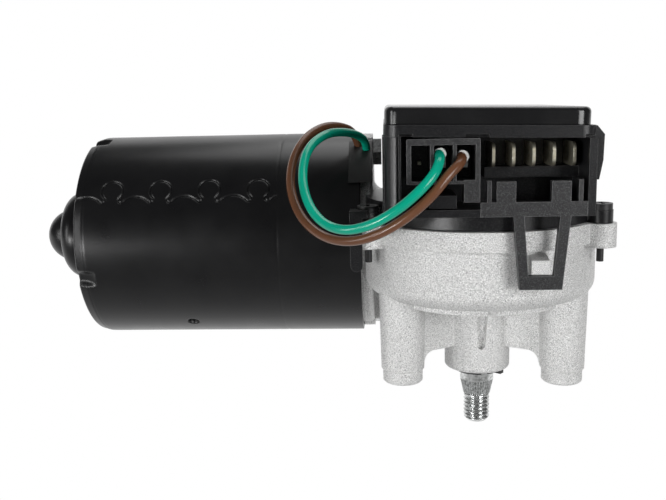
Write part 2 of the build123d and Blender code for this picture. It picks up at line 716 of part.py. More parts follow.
def tail_bush():
    return pipe_x(TAIL_BUSH_R, WORM_TAIL_R + RUNNING_FIT, WORM_TAIL_X - TAIL_BUSH_L, WORM_TAIL_X)


def bearing_groove(grow):
    middle = BEARING_X + BEARING_W / 2
    return Pos(middle, MOTOR_Y, MOTOR_Z) * Rot(0, 90, 0) * Torus(BALL_CIRCLE_R, BALL_R + grow)


def bearing_outer_ring():
    ring = pipe_x(BEARING_R, BALL_CIRCLE_R + RING_GAP, BEARING_X, BEARING_X + BEARING_W)
    return ring - bearing_groove(RUNNING_FIT)


def bearing_inner_ring():
    ring = pipe_x(BALL_CIRCLE_R - RING_GAP, FRONT_JOURNAL_R, BEARING_X, BEARING_X + BEARING_W)
    return ring - bearing_groove(RUNNING_FIT)


def bearing_ball(grow=0.0):
    return Pos(BEARING_X + BEARING_W / 2, MOTOR_Y + BALL_CIRCLE_R, MOTOR_Z) * Sphere(BALL_R + grow)


def ball_angles():
    return [i * 360 / BEARING_BALLS for i in range(BEARING_BALLS)]


def bearing_balls():
    return apart([about_motor(angle, bearing_ball()) for angle in ball_angles()])


def bearing_cage():
    middle = BEARING_X + BEARING_W / 2
    half = BALL_R + CAGE_T
    cage = pipe_x(BALL_CIRCLE_R + CAGE_T / 2, BALL_CIRCLE_R - CAGE_T / 2, middle - half, middle + half)
    for angle in ball_angles():
        cage -= about_motor(angle, bearing_ball(LOOSE_FIT))
    return cage


# ---- Brush gear -------------------------------------------------------------------------
def brush_middle_x():
    return PLATE_REAR_X - BRUSH_BOX_WALL - BRUSH_W / 2


def radial_block(angle, low_r, top_r, half_x, half_w, middle_x):
    box = block(middle_x - half_x, middle_x + half_x, MOTOR_Y + low_r, MOTOR_Y + top_r,
                MOTOR_Z - half_w, MOTOR_Z + half_w)
    return about_motor(angle, box)


def brush_plate():
    plate = pipe_x(CAN_BORE - FREE_GAP, COMMUTATOR_R + PLATE_GAP, PLATE_REAR_X, SPIGOT_END_X)
    for y, z in tie_places():
        plate -= rod_x(TIE_SCREW_R + LOOSE_FIT, PLATE_REAR_X - 1, SPIGOT_END_X + 1, y, z)
    return plate - grommet_shape(LOOSE_FIT)


def brush(angle):
    low = COMMUTATOR_R + RUNNING_FIT
    carbon = radial_block(angle, low - 1, low + BRUSH_L, BRUSH_W / 2, BRUSH_H / 2, brush_middle_x())
    return carbon - rod_x(low, PLATE_REAR_X - BEYOND, SPIGOT_END_X)


def brush_box(angle):
    low = COMMUTATOR_R + BRUSH_L / 4
    top = low + BRUSH_BOX_L
    middle = brush_middle_x()
    wall = BRUSH_BOX_WALL
    outside = radial_block(angle, low, top, BRUSH_W / 2 + wall, BRUSH_H / 2 + wall, middle)
    return outside - radial_block(angle, low - 1, top - wall, BRUSH_W / 2, BRUSH_H / 2, middle)


def brush_spring(angle):
    low = COMMUTATOR_R + RUNNING_FIT + BRUSH_L
    top = COMMUTATOR_R + BRUSH_L / 4 + BRUSH_BOX_L - BRUSH_BOX_WALL
    radius = BRUSH_W / 2 - 2 * SPRING_WIRE_R
    pitch = (top - low - 2 * SPRING_WIRE_R) / SPRING_TURNS
    path = Helix(pitch, pitch * SPRING_TURNS, radius)
    wire = sweep(Plane(path @ 0, z_dir=path % 0) * Circle(SPRING_WIRE_R), path, is_frenet=True)
    base = Pos(brush_middle_x(), MOTOR_Y + low + SPRING_WIRE_R, MOTOR_Z) * Rot(-90, 0, 0)
    return about_motor(angle, base * wire)


def choke(angle):
    middle = PLATE_REAR_X - CHOKE_R
    reach = (MAGNET_R + COMMUTATOR_R) / 2
    return about_motor(angle, Pos(middle, MOTOR_Y + reach, MOTOR_Z) * Cylinder(CHOKE_R, CHOKE_L))


# ---- Armature ---------------------------------------------------------------------------
def worm_thread():
    """One right-hand thread of straight-sided section round the worm's root."""
    root = WORM_PITCH_R - DEDENDUM
    tip = WORM_PITCH_R + ADDENDUM
    slope = tan(radians(PRESSURE_ANGLE))
    tip_half = TOOTH_THICKNESS / 2 - ADDENDUM * slope
    root_half = TOOTH_THICKNESS / 2 + DEDENDUM * slope
    length = WORM_LENGTH - 2 * root_half
    path = Helix(WORM_PITCH, length, root)
    outline = [(-0.2, -root_half), (tip - root, -tip_half), (tip - root, tip_half), (-0.2, root_half)]
    section = Plane.XZ * make_face(Polyline(*outline, close=True))
    thread = sweep(Pos(root, 0, 0) * section, path, is_frenet=True)
    crest_to_front = -90 - 360 * (length / 2) / WORM_PITCH
    return Rot(0, 90, 0) * Rot(0, 0, crest_to_front) * Pos(0, 0, -length / 2) * thread


def armature_shaft():
    root = WORM_PITCH_R - DEDENDUM
    rear = PAD_END_X + FREE_GAP
    journal = DOME_END_X + CAP_T + REAR_BUSH_L + 2
    front = COMMUTATOR_FRONT_X
    shaft = joined([
        rod_x(REAR_JOURNAL_R, rear, journal),
        rod_x(ARMATURE_SHAFT_R, journal, front),
        rod_x(FRONT_JOURNAL_R, front, NECK_END_X),
        rod_x(root, NECK_END_X, WORM_TAIL_X - TAIL_BUSH_L - FREE_GAP),
        rod_x(WORM_TAIL_R, NECK_END_X, WORM_TAIL_X),
    ])
    return shaft + Pos(0, MOTOR_Y, MOTOR_Z) * worm_thread()


def slot_shapes(gap, mouth):
    base = SLOT_BASE_R + gap
    top = STACK_R - TOOTH_TIP_T - gap
    middle = (STACK_FRONT_X + STACK_REAR_X) / 2
    shapes = []
    for i in range(SLOTS):
        slot = radial_block(i * 360 / SLOTS, base, top, STACK_L / 2, SLOT_W / 2 - gap, middle)
        if mouth:
            slot += radial_block(i * 360 / SLOTS, top - 1, STACK_R + 1, STACK_L / 2, SLOT_MOUTH / 2, middle)
        shapes.append(slot)
    return shapes


def lamination_stack():
    stack = pipe_x(STACK_R, ARMATURE_SHAFT_R, STACK_REAR_X, STACK_FRONT_X)
    for slot in slot_shapes(0.0, True):
        stack -= slot
    return stack


def coil_head(x0, x1):
    low = SLOT_BASE_R - 2
    top = STACK_R - TOOTH_TIP_T - LOOSE_FIT
    crown = ThreePointArc((x0, low), (x1, (low + top) / 2), (x0, top))
    return turned_x(crown, Line((x0, top), (x0, low)))


def armature_windings():
    coils = coil_head(STACK_FRONT_X, STACK_FRONT_X + COIL_HEAD_L)
    coils += coil_head(STACK_REAR_X, STACK_REAR_X - COIL_HEAD_L)
    for bar in slot_shapes(LOOSE_FIT, False):
        coils += bar
    return coils


def commutator_hub():
    rear = COMMUTATOR_FRONT_X - COMMUTATOR_L
    return pipe_x(COMMUTATOR_HUB_R, ARMATURE_SHAFT_R, rear, COMMUTATOR_FRONT_X)


def commutator():
    rear = COMMUTATOR_FRONT_X - COMMUTATOR_L
    bars = pipe_x(COMMUTATOR_R, COMMUTATOR_HUB_R, rear, COMMUTATOR_FRONT_X)
    for i in range(COMMUTATOR_BARS):
        bars -= radial_block((i + 0.5) * 360 / COMMUTATOR_BARS, 0, COMMUTATOR_R + 1, COMMUTATOR_L,
                             COMMUTATOR_SLIT / 2, (rear + COMMUTATOR_FRONT_X) / 2)
    return apart([bars])


# ---- Output gear and shaft --------------------------------------------------------------
def worm_wheel():
    """Slanted teeth between two toothed outlines, the upper one turned by the worm's lead."""
    slope = tan(radians(PRESSURE_ANGLE))
    root = WHEEL_PITCH_R - DEDENDUM
    tip = WHEEL_PITCH_R + ADDENDUM
    root_half = degrees((TOOTH_THICKNESS / 2 + DEDENDUM * slope) / root)
    tip_half = degrees((TOOTH_THICKNESS / 2 - ADDENDUM * slope) / tip)
    step = 360 / WHEEL_TEETH
    lean = degrees(WHEEL_WIDTH / 2 * WORM_PITCH / (2 * pi * WORM_PITCH_R) / WHEEL_PITCH_R)

    def outline(turn):
        points = []
        for i in range(WHEEL_TEETH):
            middle = 90 + (i + 0.5) * step + turn
            points += [polar(root, middle - root_half), polar(tip, middle - tip_half)]
            points += [polar(tip, middle + tip_half), polar(root, middle + root_half)]
        return make_face(Polyline(*points, close=True))

    low_face = Pos(0, 0, WHEEL_LOW_Z) * outline(-lean)
    wheel = loft([low_face, Pos(0, 0, WHEEL_TOP_Z) * outline(lean)], ruled=True)
    wheel -= rod_z(root - RIM_T, WHEEL_LOW_Z - 1, WHEEL_LOW_Z + WHEEL_RECESS)
    wheel += rod_z(WHEEL_HUB_R, HUB_LOW_Z, WHEEL_TOP_Z - 1)
    wheel -= rod_z(SHAFT_R, HUB_LOW_Z - 1, WHEEL_TOP_Z + 1)
    return wheel - drive_plate()


def drive_plate():
    """The steel insert that carries the torque from the wheel to the shaft, with eight lobes."""
    plate = rod_z(DRIVE_PLATE_R, WHEEL_TOP_Z - DRIVE_PLATE_T, WHEEL_TOP_Z)
    for i in range(8):
        x, y = polar(DRIVE_PLATE_R, i * 45)
        plate -= rod_z(1.6, WHEEL_TOP_Z - DRIVE_PLATE_T - 1, WHEEL_TOP_Z + 1, x, y)
    return plate - rod_z(SHAFT_R, WHEEL_LOW_Z, WHEEL_TOP_Z + 1)


def contact_disc():
    top = WHEEL_TOP_Z + CONTACT_DISC_T
    disc = ring_z(CONTACT_DISC_R, SHAFT_R + 1, WHEEL_TOP_Z, top)
    window = block(FINGER_RADII[1], CONTACT_DISC_R + 1, -4, 4, WHEEL_TOP_Z - 1, top + 1)
    return disc - window


def output_shaft():
    knurl_low_r = SHAFT_THREAD_R + 0.15
    shaft = rod_z(SHAFT_R, KNURL_TOP_Z, SHAFT_TOP_Z)
    shaft += knurl(knurl_low_r, SHAFT_R)
    end = rod_z(SHAFT_THREAD_R, SHAFT_TIP_Z, THREAD_TOP_Z)
    shaft += chamfer(end.edges().group_by(Axis.Z)[0], THREAD_CHAMFER)
    return shaft - ring_z(SHAFT_R + 1, CIRCLIP_GROOVE_R, CIRCLIP_LOW_Z, CIRCLIP_LOW_Z + CIRCLIP_T)


def knurl(low_r, top_r):
    """A tapered spline of V teeth that the wiper arm's crank bites on."""
    def star(radius):
        points = []
        for i in range(KNURL_TEETH):
            points.append(polar(radius, i * 360 / KNURL_TEETH))
            points.append(polar(radius - KNURL_DEPTH, (i + 0.5) * 360 / KNURL_TEETH))
        return make_face(Polyline(*points, close=True))

    return loft([Pos(0, 0, THREAD_TOP_Z) * star(low_r), Pos(0, 0, KNURL_TOP_Z) * star(top_r)], ruled=True)


def shaft_circlip():
    low = CIRCLIP_LOW_Z
    top = low + CIRCLIP_T
    clip = ring_z(CIRCLIP_R, CIRCLIP_GROOVE_R, low, top)
    tab = block(CIRCLIP_R - 1, BOSS_R - BOSS_ROUND, -CIRCLIP_T, CIRCLIP_T, low, top)
    clip += Rot(0, 0, CIRCLIP_TAB_ANGLE) * tab
    return clip - Rot(0, 0, 2 * CIRCLIP_TAB_ANGLE) * block(0, CIRCLIP_R + 1, -1, 1, low - 1, top + 1)


def shaft_bush(low_z):
    return ring_z(BUSH_R, SHAFT_R + RUNNING_FIT, low_z, low_z + SHAFT_BUSH_L)


def shaft_seal():
    return ring_z(BUSH_R, SHAFT_R + RUNNING_FIT, BOSS_END_Z, BOSS_END_Z + SEAL_L)


def thrust_washer():
    return ring_z(BUSH_R, SHAFT_R, BOWL_FLOOR_Z + FREE_GAP, HUB_LOW_Z)


# ---- Cover ------------------------------------------------------------------------------
def tilted(shape):
    """Lean a shape about the top of the box's left side, so that it drops to the right."""
    return Pos(BOX_LEFT_X, 0, BOX_TOP_Z) * Rot(0, LID_TILT, 0) * Pos(-BOX_LEFT_X, 0, -BOX_TOP_Z) * shape


def cover_inner(z0, z1):
    """The room for the electronics behind the sockets."""
    x0 = BOX_LEFT_X + COVER_WALL
    x1 = BOX_RIGHT_X - COVER_WALL
    return block(x0, x1, ELECTRONICS_Y, BOX_BACK_Y - COVER_WALL, z0, z1)


def cover_band():
    """The collar round the box's top: it roofs the sockets, carries the lid and has a side rib."""
    over = BAND_OVERHANG
    x1 = BOX_RIGHT_X + over
    band = rounded_box(BOX_LEFT_X - over, x1, BOX_FRONT_Y - over, BOX_BACK_Y + over, BOX_TOP_Z, BAND_TOP_Z,
                       BOX_CORNER)
    room_x0 = BOX_LEFT_X + COVER_WALL
    room_x1 = LID_RIGHT_X - LID_WALL
    room_y1 = BOX_BACK_Y - LID_INSET - LID_WALL
    band -= block(room_x0, room_x1, ELECTRONICS_Y, room_y1, BOX_TOP_Z - 1, BAND_TOP_Z + 1)
    front = BOX_FRONT_Y + LID_INSET + LID_WALL
    band -= block(room_x0, room_x1, front, room_y1, BOX_TOP_Z + CEILING_T, BAND_TOP_Z + 1)
    for slot_x0, slot_x1 in BAND_SLOTS:
        band -= block(slot_x0, slot_x1, BOX_FRONT_Y - 1, BOX_FRONT_Y + FRAME_T, BOX_TOP_Z - 1,
                      BOX_TOP_Z + BAND_SLOT_H)
    root = BOX_RIGHT_X - COVER_WALL / 2
    top = BAND_TOP_Z - LOOSE_FIT
    rib_x = x1 + HOOK_W
    rib = [(root, top), (x1, top), (rib_x, BOX_TOP_Z + BAND_SLOT_H), (rib_x, HOOK_LOW_Z + HOOK_TAPER_H),
           (rib_x - BAND_SLOT_H, HOOK_LOW_Z), (root, HOOK_LOW_Z)]
    rib_y = BOX_FRONT_Y + HOOK_FROM_FRONT
    return tilted(band + prism_xz(rib, rib_y, rib_y + HOOK_L))


def side_clip():
    """A spare cable clip that hangs beside the cover's left screw post."""
    x1 = MOUTH_X + 1.2
    x0 = x1 - CLIP_W
    post_x, post_y = polar(EAR_CENTRE_R, EAR_ANGLES[2])
    front = post_y - EAR_R - FREE_GAP - CLIP_T
    tongue = block(x0, x1, front, front + CLIP_T, CLIP_LOW_Z + CLIP_W / 2, COVER_FLOOR_Z)
    tip = rod_y(CLIP_W / 2, front, front + CLIP_T, (x0 + x1) / 2, CLIP_LOW_Z + CLIP_W / 2)
    root = block(x0, post_x, front, post_y, COVER_FLOOR_Z - COVER_WALL, COVER_FLOOR_Z)
    return tongue + tip + root


def finger_window(z0, z1):
    x0 = -FINGER_RADII[-1] - FINGER_W
    x1 = -FINGER_RADII[0] + FINGER_W
    return block(x0, x1, FINGER_TIP_Y - FINGER_W, FINGER_ROOT_Y + FINGER_W, z0, z1)


def gear_cover():
    body = rounded_box(BOX_LEFT_X, BOX_RIGHT_X, BOX_FRONT_Y, BOX_BACK_Y, COVER_FLOOR_Z, BOX_TOP_Z,
                       BOX_CORNER)
    for rib_y in (BOX_FRONT_Y + BOX_CORNER, BOX_FRONT_Y + BOX_CORNER + SIDE_RIB_PITCH):
        x0 = BOX_LEFT_X - SIDE_RIB_T
        body += block(x0, BOX_LEFT_X + 1, rib_y, rib_y + SIDE_RIB_W, COVER_FLOOR_Z, BOX_TOP_Z)
    body += block(BOX_RIGHT_X - COVER_WALL, BOX_RIGHT_X, BOX_FRONT_Y, BOX_FRONT_Y + BOX_CORNER,
                  COVER_FLOOR_Z, BOX_TOP_Z)
    body -= tilted(block(-BEYOND, BEYOND, -BEYOND, BEYOND, BOX_TOP_Z, BOX_TOP_Z + BEYOND))
    body += rod_z(RING_R, SEAT_Z, FLOOR_TOP_Z)
    for angle in EAR_ANGLES:
        x, y = polar(EAR_CENTRE_R, angle)
        body += rod_z(POST_R, SEAT_Z, POST_TOP_Z, x, y)
        arm = block(RING_R - RING_WALL, EAR_CENTRE_R, -POST_R / 2, POST_R / 2, SEAT_Z, COVER_FLOOR_Z)
        body += Rot(0, 0, angle) * arm
    body += side_clip()
    body -= rod_z(RING_R - RING_WALL, SEAT_Z - 1, COVER_FLOOR_Z)
    flange_x = MOUTH_X + MOTOR_FLANGE_T + FREE_GAP
    flange_y = MOTOR_Y - MOTOR_FLANGE_R - FREE_GAP
    body -= block(flange_x - BEYOND, flange_x, flange_y, MOTOR_Y, SEAT_Z - 1, BOX_TOP_Z + BEYOND)
    body -= cover_inner(FLOOR_TOP_Z, BOX_TOP_Z + 1)
    bay_right = BOX_RIGHT_X - COVER_WALL
    body -= block(PLUG_BAY_LEFT_X, bay_right, BOX_FRONT_Y - 1, BAY_BACK_Y, FLOOR_TOP_Z, BOX_TOP_Z + 1)
    frame_y = BOX_FRONT_Y + FRAME_T
    body -= block(FRAME_LEFT_X, bay_right, BOX_FRONT_Y - 1, frame_y, COVER_FLOOR_Z, BOX_TOP_Z + 1)
    loop_x = (LOOP_LEFT_X - LOOSE_FIT, LOOP_RIGHT_X + LOOSE_FIT)
    body -= block(*loop_x, BOX_FRONT_Y - 1, frame_y + LOOSE_FIT, SEAT_Z - 1, COVER_FLOOR_Z)
    groove_x = PLUG_BAY_LEFT_X - EDGE_BAR_W
    groove_w, groove_depth = EDGE_GROOVE
    groove_y = BOX_FRONT_Y + groove_depth
    body -= block(groove_x - groove_w, groove_x, BOX_FRONT_Y - 1, groove_y, FLOOR_TOP_Z, BOX_TOP_Z + 1)
    body -= finger_window(COVER_FLOOR_Z - 1, FLOOR_TOP_Z + 1)
    body += block(RIB_XS[0], bay_right, SHELF_FRONT_Y, BAY_BACK_Y, SHELF_TOP_Z - SHELF_T, SHELF_TOP_Z)
    body += block(*TONGUE_X, BOX_FRONT_Y + 1, BAY_BACK_Y, *TONGUE_Z)
    for x in (BOX_LEFT_X + COVER_WALL + STANDOFF_R, BOX_RIGHT_X - COVER_WALL - STANDOFF_R):
        for y in (ELECTRONICS_Y + STANDOFF_R, BOX_BACK_Y - COVER_WALL - STANDOFF_R):
            body += rod_z(STANDOFF_R, FLOOR_TOP_Z, BOARD_Z, x, y)
    for x in BLADE_XS:
        body -= blade(x, LOOSE_FIT)
    for x in CAVITY_XS:
        body -= header_pin(x, LOOSE_FIT)
    for angle in EAR_ANGLES:
        x, y = polar(EAR_CENTRE_R, angle)
        body -= rod_z(COVER_SCREW_R + LOOSE_FIT, SEAT_Z - 1, POST_TOP_Z + 1, x, y)
        body -= rod_z(COVER_SCREW_HEAD_R + FREE_GAP, POST_TOP_Z, POST_TOP_Z + 2 * COVER_SCREW_HEAD_H, x, y)
    return body + cover_band()


def cover_screws():
    length, width, depth = COVER_SCREW_CROSS
    screws = []
    for angle in EAR_ANGLES:
        x, y = polar(EAR_CENTRE_R, angle)
        top = POST_TOP_Z + COVER_SCREW_HEAD_H
        screw = rod_z(COVER_SCREW_HEAD_R, POST_TOP_Z, top, x, y)
        for size_x, size_y in ((length, width), (width, length)):
            screw -= Pos(x, y, top) * Box(size_x, size_y, 2 * depth)
        screw += rod_z(COVER_SCREW_R, EAR_LOW_Z, POST_TOP_Z, x, y)
        screws.append(screw + rod_z(SCREW_TIP_R, SCREW_TIP_Z, EAR_LOW_Z, x, y))
    return apart(screws)


def cover_lid():
    """The lid: a shallow hollow tray, upside down, that stands on the band."""
    y0 = BOX_FRONT_Y + LID_INSET
    y1 = BOX_BACK_Y - LID_INSET
    lid = rounded_box(BOX_LEFT_X, LID_RIGHT_X, y0, y1, BAND_TOP_Z, LID_TOP_Z, BOX_CORNER)
    lid = fillet(lid.edges().group_by(Axis.Z)[-1], LID_ROUND)
    lid -= block(BOX_LEFT_X + LID_WALL, LID_RIGHT_X - LID_WALL, y0 + LID_WALL, y1 - LID_WALL, BAND_TOP_Z - 1,
                 LID_TOP_Z - LID_WALL)
    return tilted(lid)


# ---- Sockets ----------------------------------------------------------------------------
def snap_loop():
    """The loop that hangs from the frame and catches on the housing's lug."""
    top = COVER_FLOOR_Z + 1
    middle = (LOOP_LEFT_X + LOOP_RIGHT_X) / 2
    half = (LOOP_RIGHT_X - LOOP_LEFT_X) / 2
    low_half = half - LOOP_TAPER
    bar_top = LOOP_BOTTOM_Z + LOOP_BAR_H
    outer = [(middle - half, top), (middle + half, top), (middle + low_half, LOOP_BOTTOM_Z),
             (middle - low_half, LOOP_BOTTOM_Z)]
    half -= LOOP_ARM_W
    low_half -= LOOP_ARM_W - LOOP_TAPER / 4
    inner = [(middle - half, top + 1), (middle + half, top + 1), (middle + low_half, bar_top),
             (middle - low_half, bar_top)]
    y0 = BOX_FRONT_Y
    return prism_xz(outer, y0, y0 + FRAME_T) - prism_xz(inner, y0 - 1, y0 + FRAME_T + 1)


def connector_frame():
    right = BOX_RIGHT_X - COVER_WALL
    y0 = BOX_FRONT_Y
    y1 = BOX_FRONT_Y + FRAME_T
    frame = block(FRAME_LEFT_X, right, y0, y1, COVER_FLOOR_Z, COVER_FLOOR_Z + BAR_H)
    for x in TAB_XS:
        frame += block(x - TAB_W / 2, x + TAB_W / 2, y0, y1, COVER_FLOOR_Z, TAB_TOP_Z)
    for x in RIB_XS:
        frame += block(x - RIB_W / 2, x + RIB_W / 2, y0, y1, COVER_FLOOR_Z, RIB_TOP_Z)
    return frame + snap_loop()


def blade(x, grow=0.0):
    """A flat contact blade that runs through the bay's back wall and turns down to the board."""
    half_t = BLADE_T / 2 + grow
    half_h = BLADE_H / 2 + grow
    tail_y = ELECTRONICS_Y + TAIL_GAP
    flat = block(x - half_t, x + half_t, BLADE_FRONT_Y, tail_y + grow, BLADE_Z - half_h, BLADE_Z + half_h)
    tail = block(x - half_t, x + half_t, tail_y - TAIL_W - grow, tail_y + grow, BOARD_TOP_Z, BLADE_Z)
    if grow:
        return flat
    front_edges = flat.edges().filter_by(Axis.X).group_by(Axis.Y)[0]
    return fillet(front_edges, BLADE_TIP) + tail


def header_pin(x, grow=0.0):
    half = PIN_W / 2 + grow
    tail_y = ELECTRONICS_Y + TAIL_GAP
    pin = block(x - half, x + half, PLUG_REAR_Y - PIN_REACH, tail_y + grow, PIN_Z - half, PIN_Z + half)
    if grow:
        return pin
    return pin + block(x - half, x + half, tail_y - PIN_W, tail_y, BOARD_TOP_Z, PIN_Z)


def motor_plug():
    body = block(PLUG_LEFT_X, PLUG_RIGHT_X, BOX_FRONT_Y, PLUG_REAR_Y, PLUG_BOTTOM_Z, PLUG_TOP_Z)
    body = fillet(body.edges().filter_by(Axis.Y), 0.4)
    for x in CAVITY_XS:
        body -= block(x - CAVITY_W / 2, x + CAVITY_W / 2, BOX_FRONT_Y - 1, PLUG_REAR_Y - PLUG_BACK_T,
                      PLUG_BOTTOM_Z + PLUG_FLOOR_T, PLUG_TOP_Z - PLUG_TOP_RIM)
        body -= header_pin(x, LOOSE_FIT)
    return body + block(PLUG_RIGHT_X - PLUG_FOOT_W, PLUG_RIGHT_X, BOX_FRONT_Y, BOX_FRONT_Y + PLUG_FOOT_T,
                        PLUG_BOTTOM_Z - PLUG_FOOT_H, PLUG_BOTTOM_Z + 1)


def plug_terminals():
    """Crimped sleeves on the wires' ends, with a box that takes the header pin."""
    sleeves = []
    for x, pin_x, z in zip(WIRE_XS, CAVITY_XS[1:], (GREEN_Z, BROWN_Z)):
        rear = PLUG_REAR_Y - PLUG_BACK_T - FREE_GAP
        sleeve = rod_y(CRIMP_R, CRIMP_FRONT_Y, CRIMP_FRONT_Y + CRIMP_L, x, z)
        box = block(pin_x - TERMINAL_HALF, pin_x + TERMINAL_HALF, CRIMP_FRONT_Y + CRIMP_L - 1, rear,
                    PIN_Z - TERMINAL_HALF, z)
        sleeves.append(sleeve + box - header_pin(pin_x, LOOSE_FIT))
    return apart(sleeves)


# ---- Electronics ------------------------------------------------------------------------
def circuit_board():
    gap = BOARD_GAP
    x0 = BOX_LEFT_X + COVER_WALL + gap
    x1 = BOX_RIGHT_X - COVER_WALL - gap
    board = block(x0, x1, ELECTRONICS_Y + gap, BOX_BACK_Y - COVER_WALL - gap, BOARD_Z, BOARD_TOP_Z)
    slot_y = FINGER_ROOT_Y - FINGER_T
    for radius in FINGER_RADII:
        x = -radius - FINGER_W / 2
        board -= block(x, x + FINGER_W, slot_y, FINGER_ROOT_Y, BOARD_Z - 1, BOARD_TOP_Z + 1)
    return board


def relay():
    length, width, height = RELAY_SIZE
    case = block(-length / 2, length / 2, RELAY_Y, RELAY_Y + width, BOARD_TOP_Z, BOARD_TOP_Z + height)
    return fillet(case.edges().group_by(Axis.Z)[-1], 1.0)


def contact_finger(radius):
    """A springy strip, bent from the board down to the contact disc."""
    t = FINGER_T
    tip_z = WHEEL_TOP_Z + CONTACT_DISC_T + FREE_GAP
    knee_z = tip_z + FINGER_KNEE_RISE
    end_z = tip_z + FINGER_TIP_RISE
    points = [(FINGER_ROOT_Y, BOARD_TOP_Z), (FINGER_ROOT_Y, knee_z), (0, tip_z), (FINGER_TIP_Y, end_z),
              (FINGER_TIP_Y, end_z + t), (0, tip_z + t), (FINGER_ROOT_Y - t, knee_z + t),
              (FINGER_ROOT_Y - t, BOARD_TOP_Z)]
    strip = extrude(Plane.YZ * make_face(Polyline(*points, close=True)), FINGER_W)
    return Pos(-radius - FINGER_W / 2, 0, 0) * strip


# ---- Wires ------------------------------------------------------------------------------
# Each route leaves its crimp straight, hangs in front of the can and goes back over its top.
GREEN_ROUTE = [
    (WIRE_XS[0], CRIMP_FRONT_Y, GREEN_Z), (-13.9, -41.0, 68.2), (-15.5, -44.6, 64.6), (-19.6, -46.2, 60.2),
    (-25.2, -45.9, 55.5), (-32.0, -43.7, 51.4), (-39.0, -40.2, 49.6), (-45.1, -35.2, 51.2),
    (-49.3, -29.0, 55.9), (-51.3, -22.0, 62.4), (-50.3, -14.4, 69.5), (-45.7, -6.1, 73.4),
    (-40.3, 1.4, 73.6), (-36.1, 7.4, 72.2), (-33.8, 11.0, 69.8), WIRE_ENDS[0]]
BROWN_ROUTE = [
    (WIRE_XS[1], CRIMP_FRONT_Y, BROWN_Z), (-8.3, -41.0, 67.4), (-12.1, -43.8, 64.2), (-16.0, -45.0, 59.3),
    (-21.7, -44.4, 54.1), (-28.8, -42.3, 49.3), (-36.6, -38.2, 46.3), (-44.4, -32.2, 46.4),
    (-51.2, -25.5, 50.5), (-55.2, -17.8, 57.9), (-55.3, -9.8, 65.9), (-51.9, -2.2, 72.3),
    (-46.8, 4.2, 75.3), (-41.8, 9.4, 75.1), (-37.3, 12.6, 72.9), WIRE_ENDS[1]]


def corner_radii(route):
    """The largest arc each corner's two runs allow: 0.45 of the shorter over tan(half the turn)."""
    radii = []
    for before, here, after in zip(route, route[1:], route[2:]):
        run_in = Vector(*here) - Vector(*before)
        run_out = Vector(*after) - Vector(*here)
        turn = radians(run_in.get_angle(run_out))
        radii.append(0.45 * min(run_in.length, run_out.length) / tan(turn / 2))
    return radii


def wire(name, route):
    radii = corner_radii(route)
    path = FilletPolyline(*route, radius=radii)
    tube = sweep(Plane(path @ 0, z_dir=path % 0) * Circle(WIRE_D / 2), path)
    straight_volume = pi * WIRE_D ** 2 / 4 * path.length
    print(name, "radii", [round(radius, 1) for radius in radii])
    print(name, "length", round(path.length, 1), "volume", round(tube.volume, 1), round(straight_volume, 1))
    return tube


# ---- The whole motor --------------------------------------------------------------------
PARTS = {
    "gear_housing": gear_housing(),
    "motor_can": motor_can(),
    "can_end_cap": can_end_cap(),
    "rear_bush": rear_bush(),
    "rear_bush_retainer": bush_retainer(),
    "rear_thrust_pad": thrust_pad(),
    "magnet_front": magnet(180),
    "magnet_back": magnet(0),
    "magnet_clip_top": magnet_clip(90),
    "magnet_clip_bottom": magnet_clip(270),
    "tie_screws": tie_screws(),
    "thrust_screw": thrust_screw(),
    "thrust_lock_nut": thrust_nut(),
    "thrust_ball": thrust_ball(),
    "worm_tail_bush": tail_bush(),
    "bearing_outer_ring": bearing_outer_ring(),
    "bearing_inner_ring": bearing_inner_ring(),
    "bearing_balls": bearing_balls(),
    "bearing_cage": bearing_cage(),
    "brush_plate": brush_plate(),
    "brush_boxes": apart([brush_box(angle) for angle in BRUSH_ANGLES]),
    "brushes": apart([brush(angle) for angle in BRUSH_ANGLES]),
    "brush_springs": apart([brush_spring(angle) for angle in BRUSH_ANGLES]),
    "suppression_chokes": apart([choke(angle) for angle in CHOKE_ANGLES]),
    "armature_shaft": armature_shaft(),
    "lamination_stack": lamination_stack(),
    "armature_windings": armature_windings(),
    "commutator_hub": commutator_hub(),
    "commutator": commutator(),
    "worm_wheel": worm_wheel(),
    "drive_plate": drive_plate(),
    "contact_disc": contact_disc(),
    "output_shaft": output_shaft(),
    "shaft_circlip": shaft_circlip(),
    "shaft_bush_upper": shaft_bush(BOWL_FLOOR_Z - SHAFT_BUSH_L),
    "shaft_bush_lower": shaft_bush(BOSS_END_Z + SEAL_L),
    "shaft_seal": shaft_seal(),
    "shaft_thrust_washer": thrust_washer(),
    "cover_gasket": gasket_ring(),
    "gear_cover": gear_cover(),
    "cover_screws": cover_screws(),
    "cover_lid": cover_lid(),
    "connector_frame": connector_frame(),
    "connector_blades": apart([blade(x) for x in BLADE_XS]),
    "plug_header_pins": apart([header_pin(x) for x in CAVITY_XS]),
    "motor_plug": motor_plug(),
    "plug_terminals": plug_terminals(),
    "circuit_board": circuit_board(),
    "relay": relay(),
    "contact_fingers": apart([contact_finger(radius) for radius in FINGER_RADII]),
    "wire_grommet": grommet_shape(),
    "green_wire": wire("green_wire", GREEN_ROUTE),
    "brown_wire": wire("brown_wire", BROWN_ROUTE),
}

os.makedirs("parts", exist_ok=True)
for name, shape in PARTS.items():
    export_step(shape, f"parts/{name}.step")
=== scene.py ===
"""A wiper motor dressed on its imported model: a painted can, a cast gear housing and a plastic cover.

Lengths are metres. +X runs from the can to the gearbox, +Y away from the sockets, +Z to the cover.
"""
import json
from math import cos, radians, sin, tau

import bmesh
import bpy
import numpy as np
from mathutils import Matrix, Vector


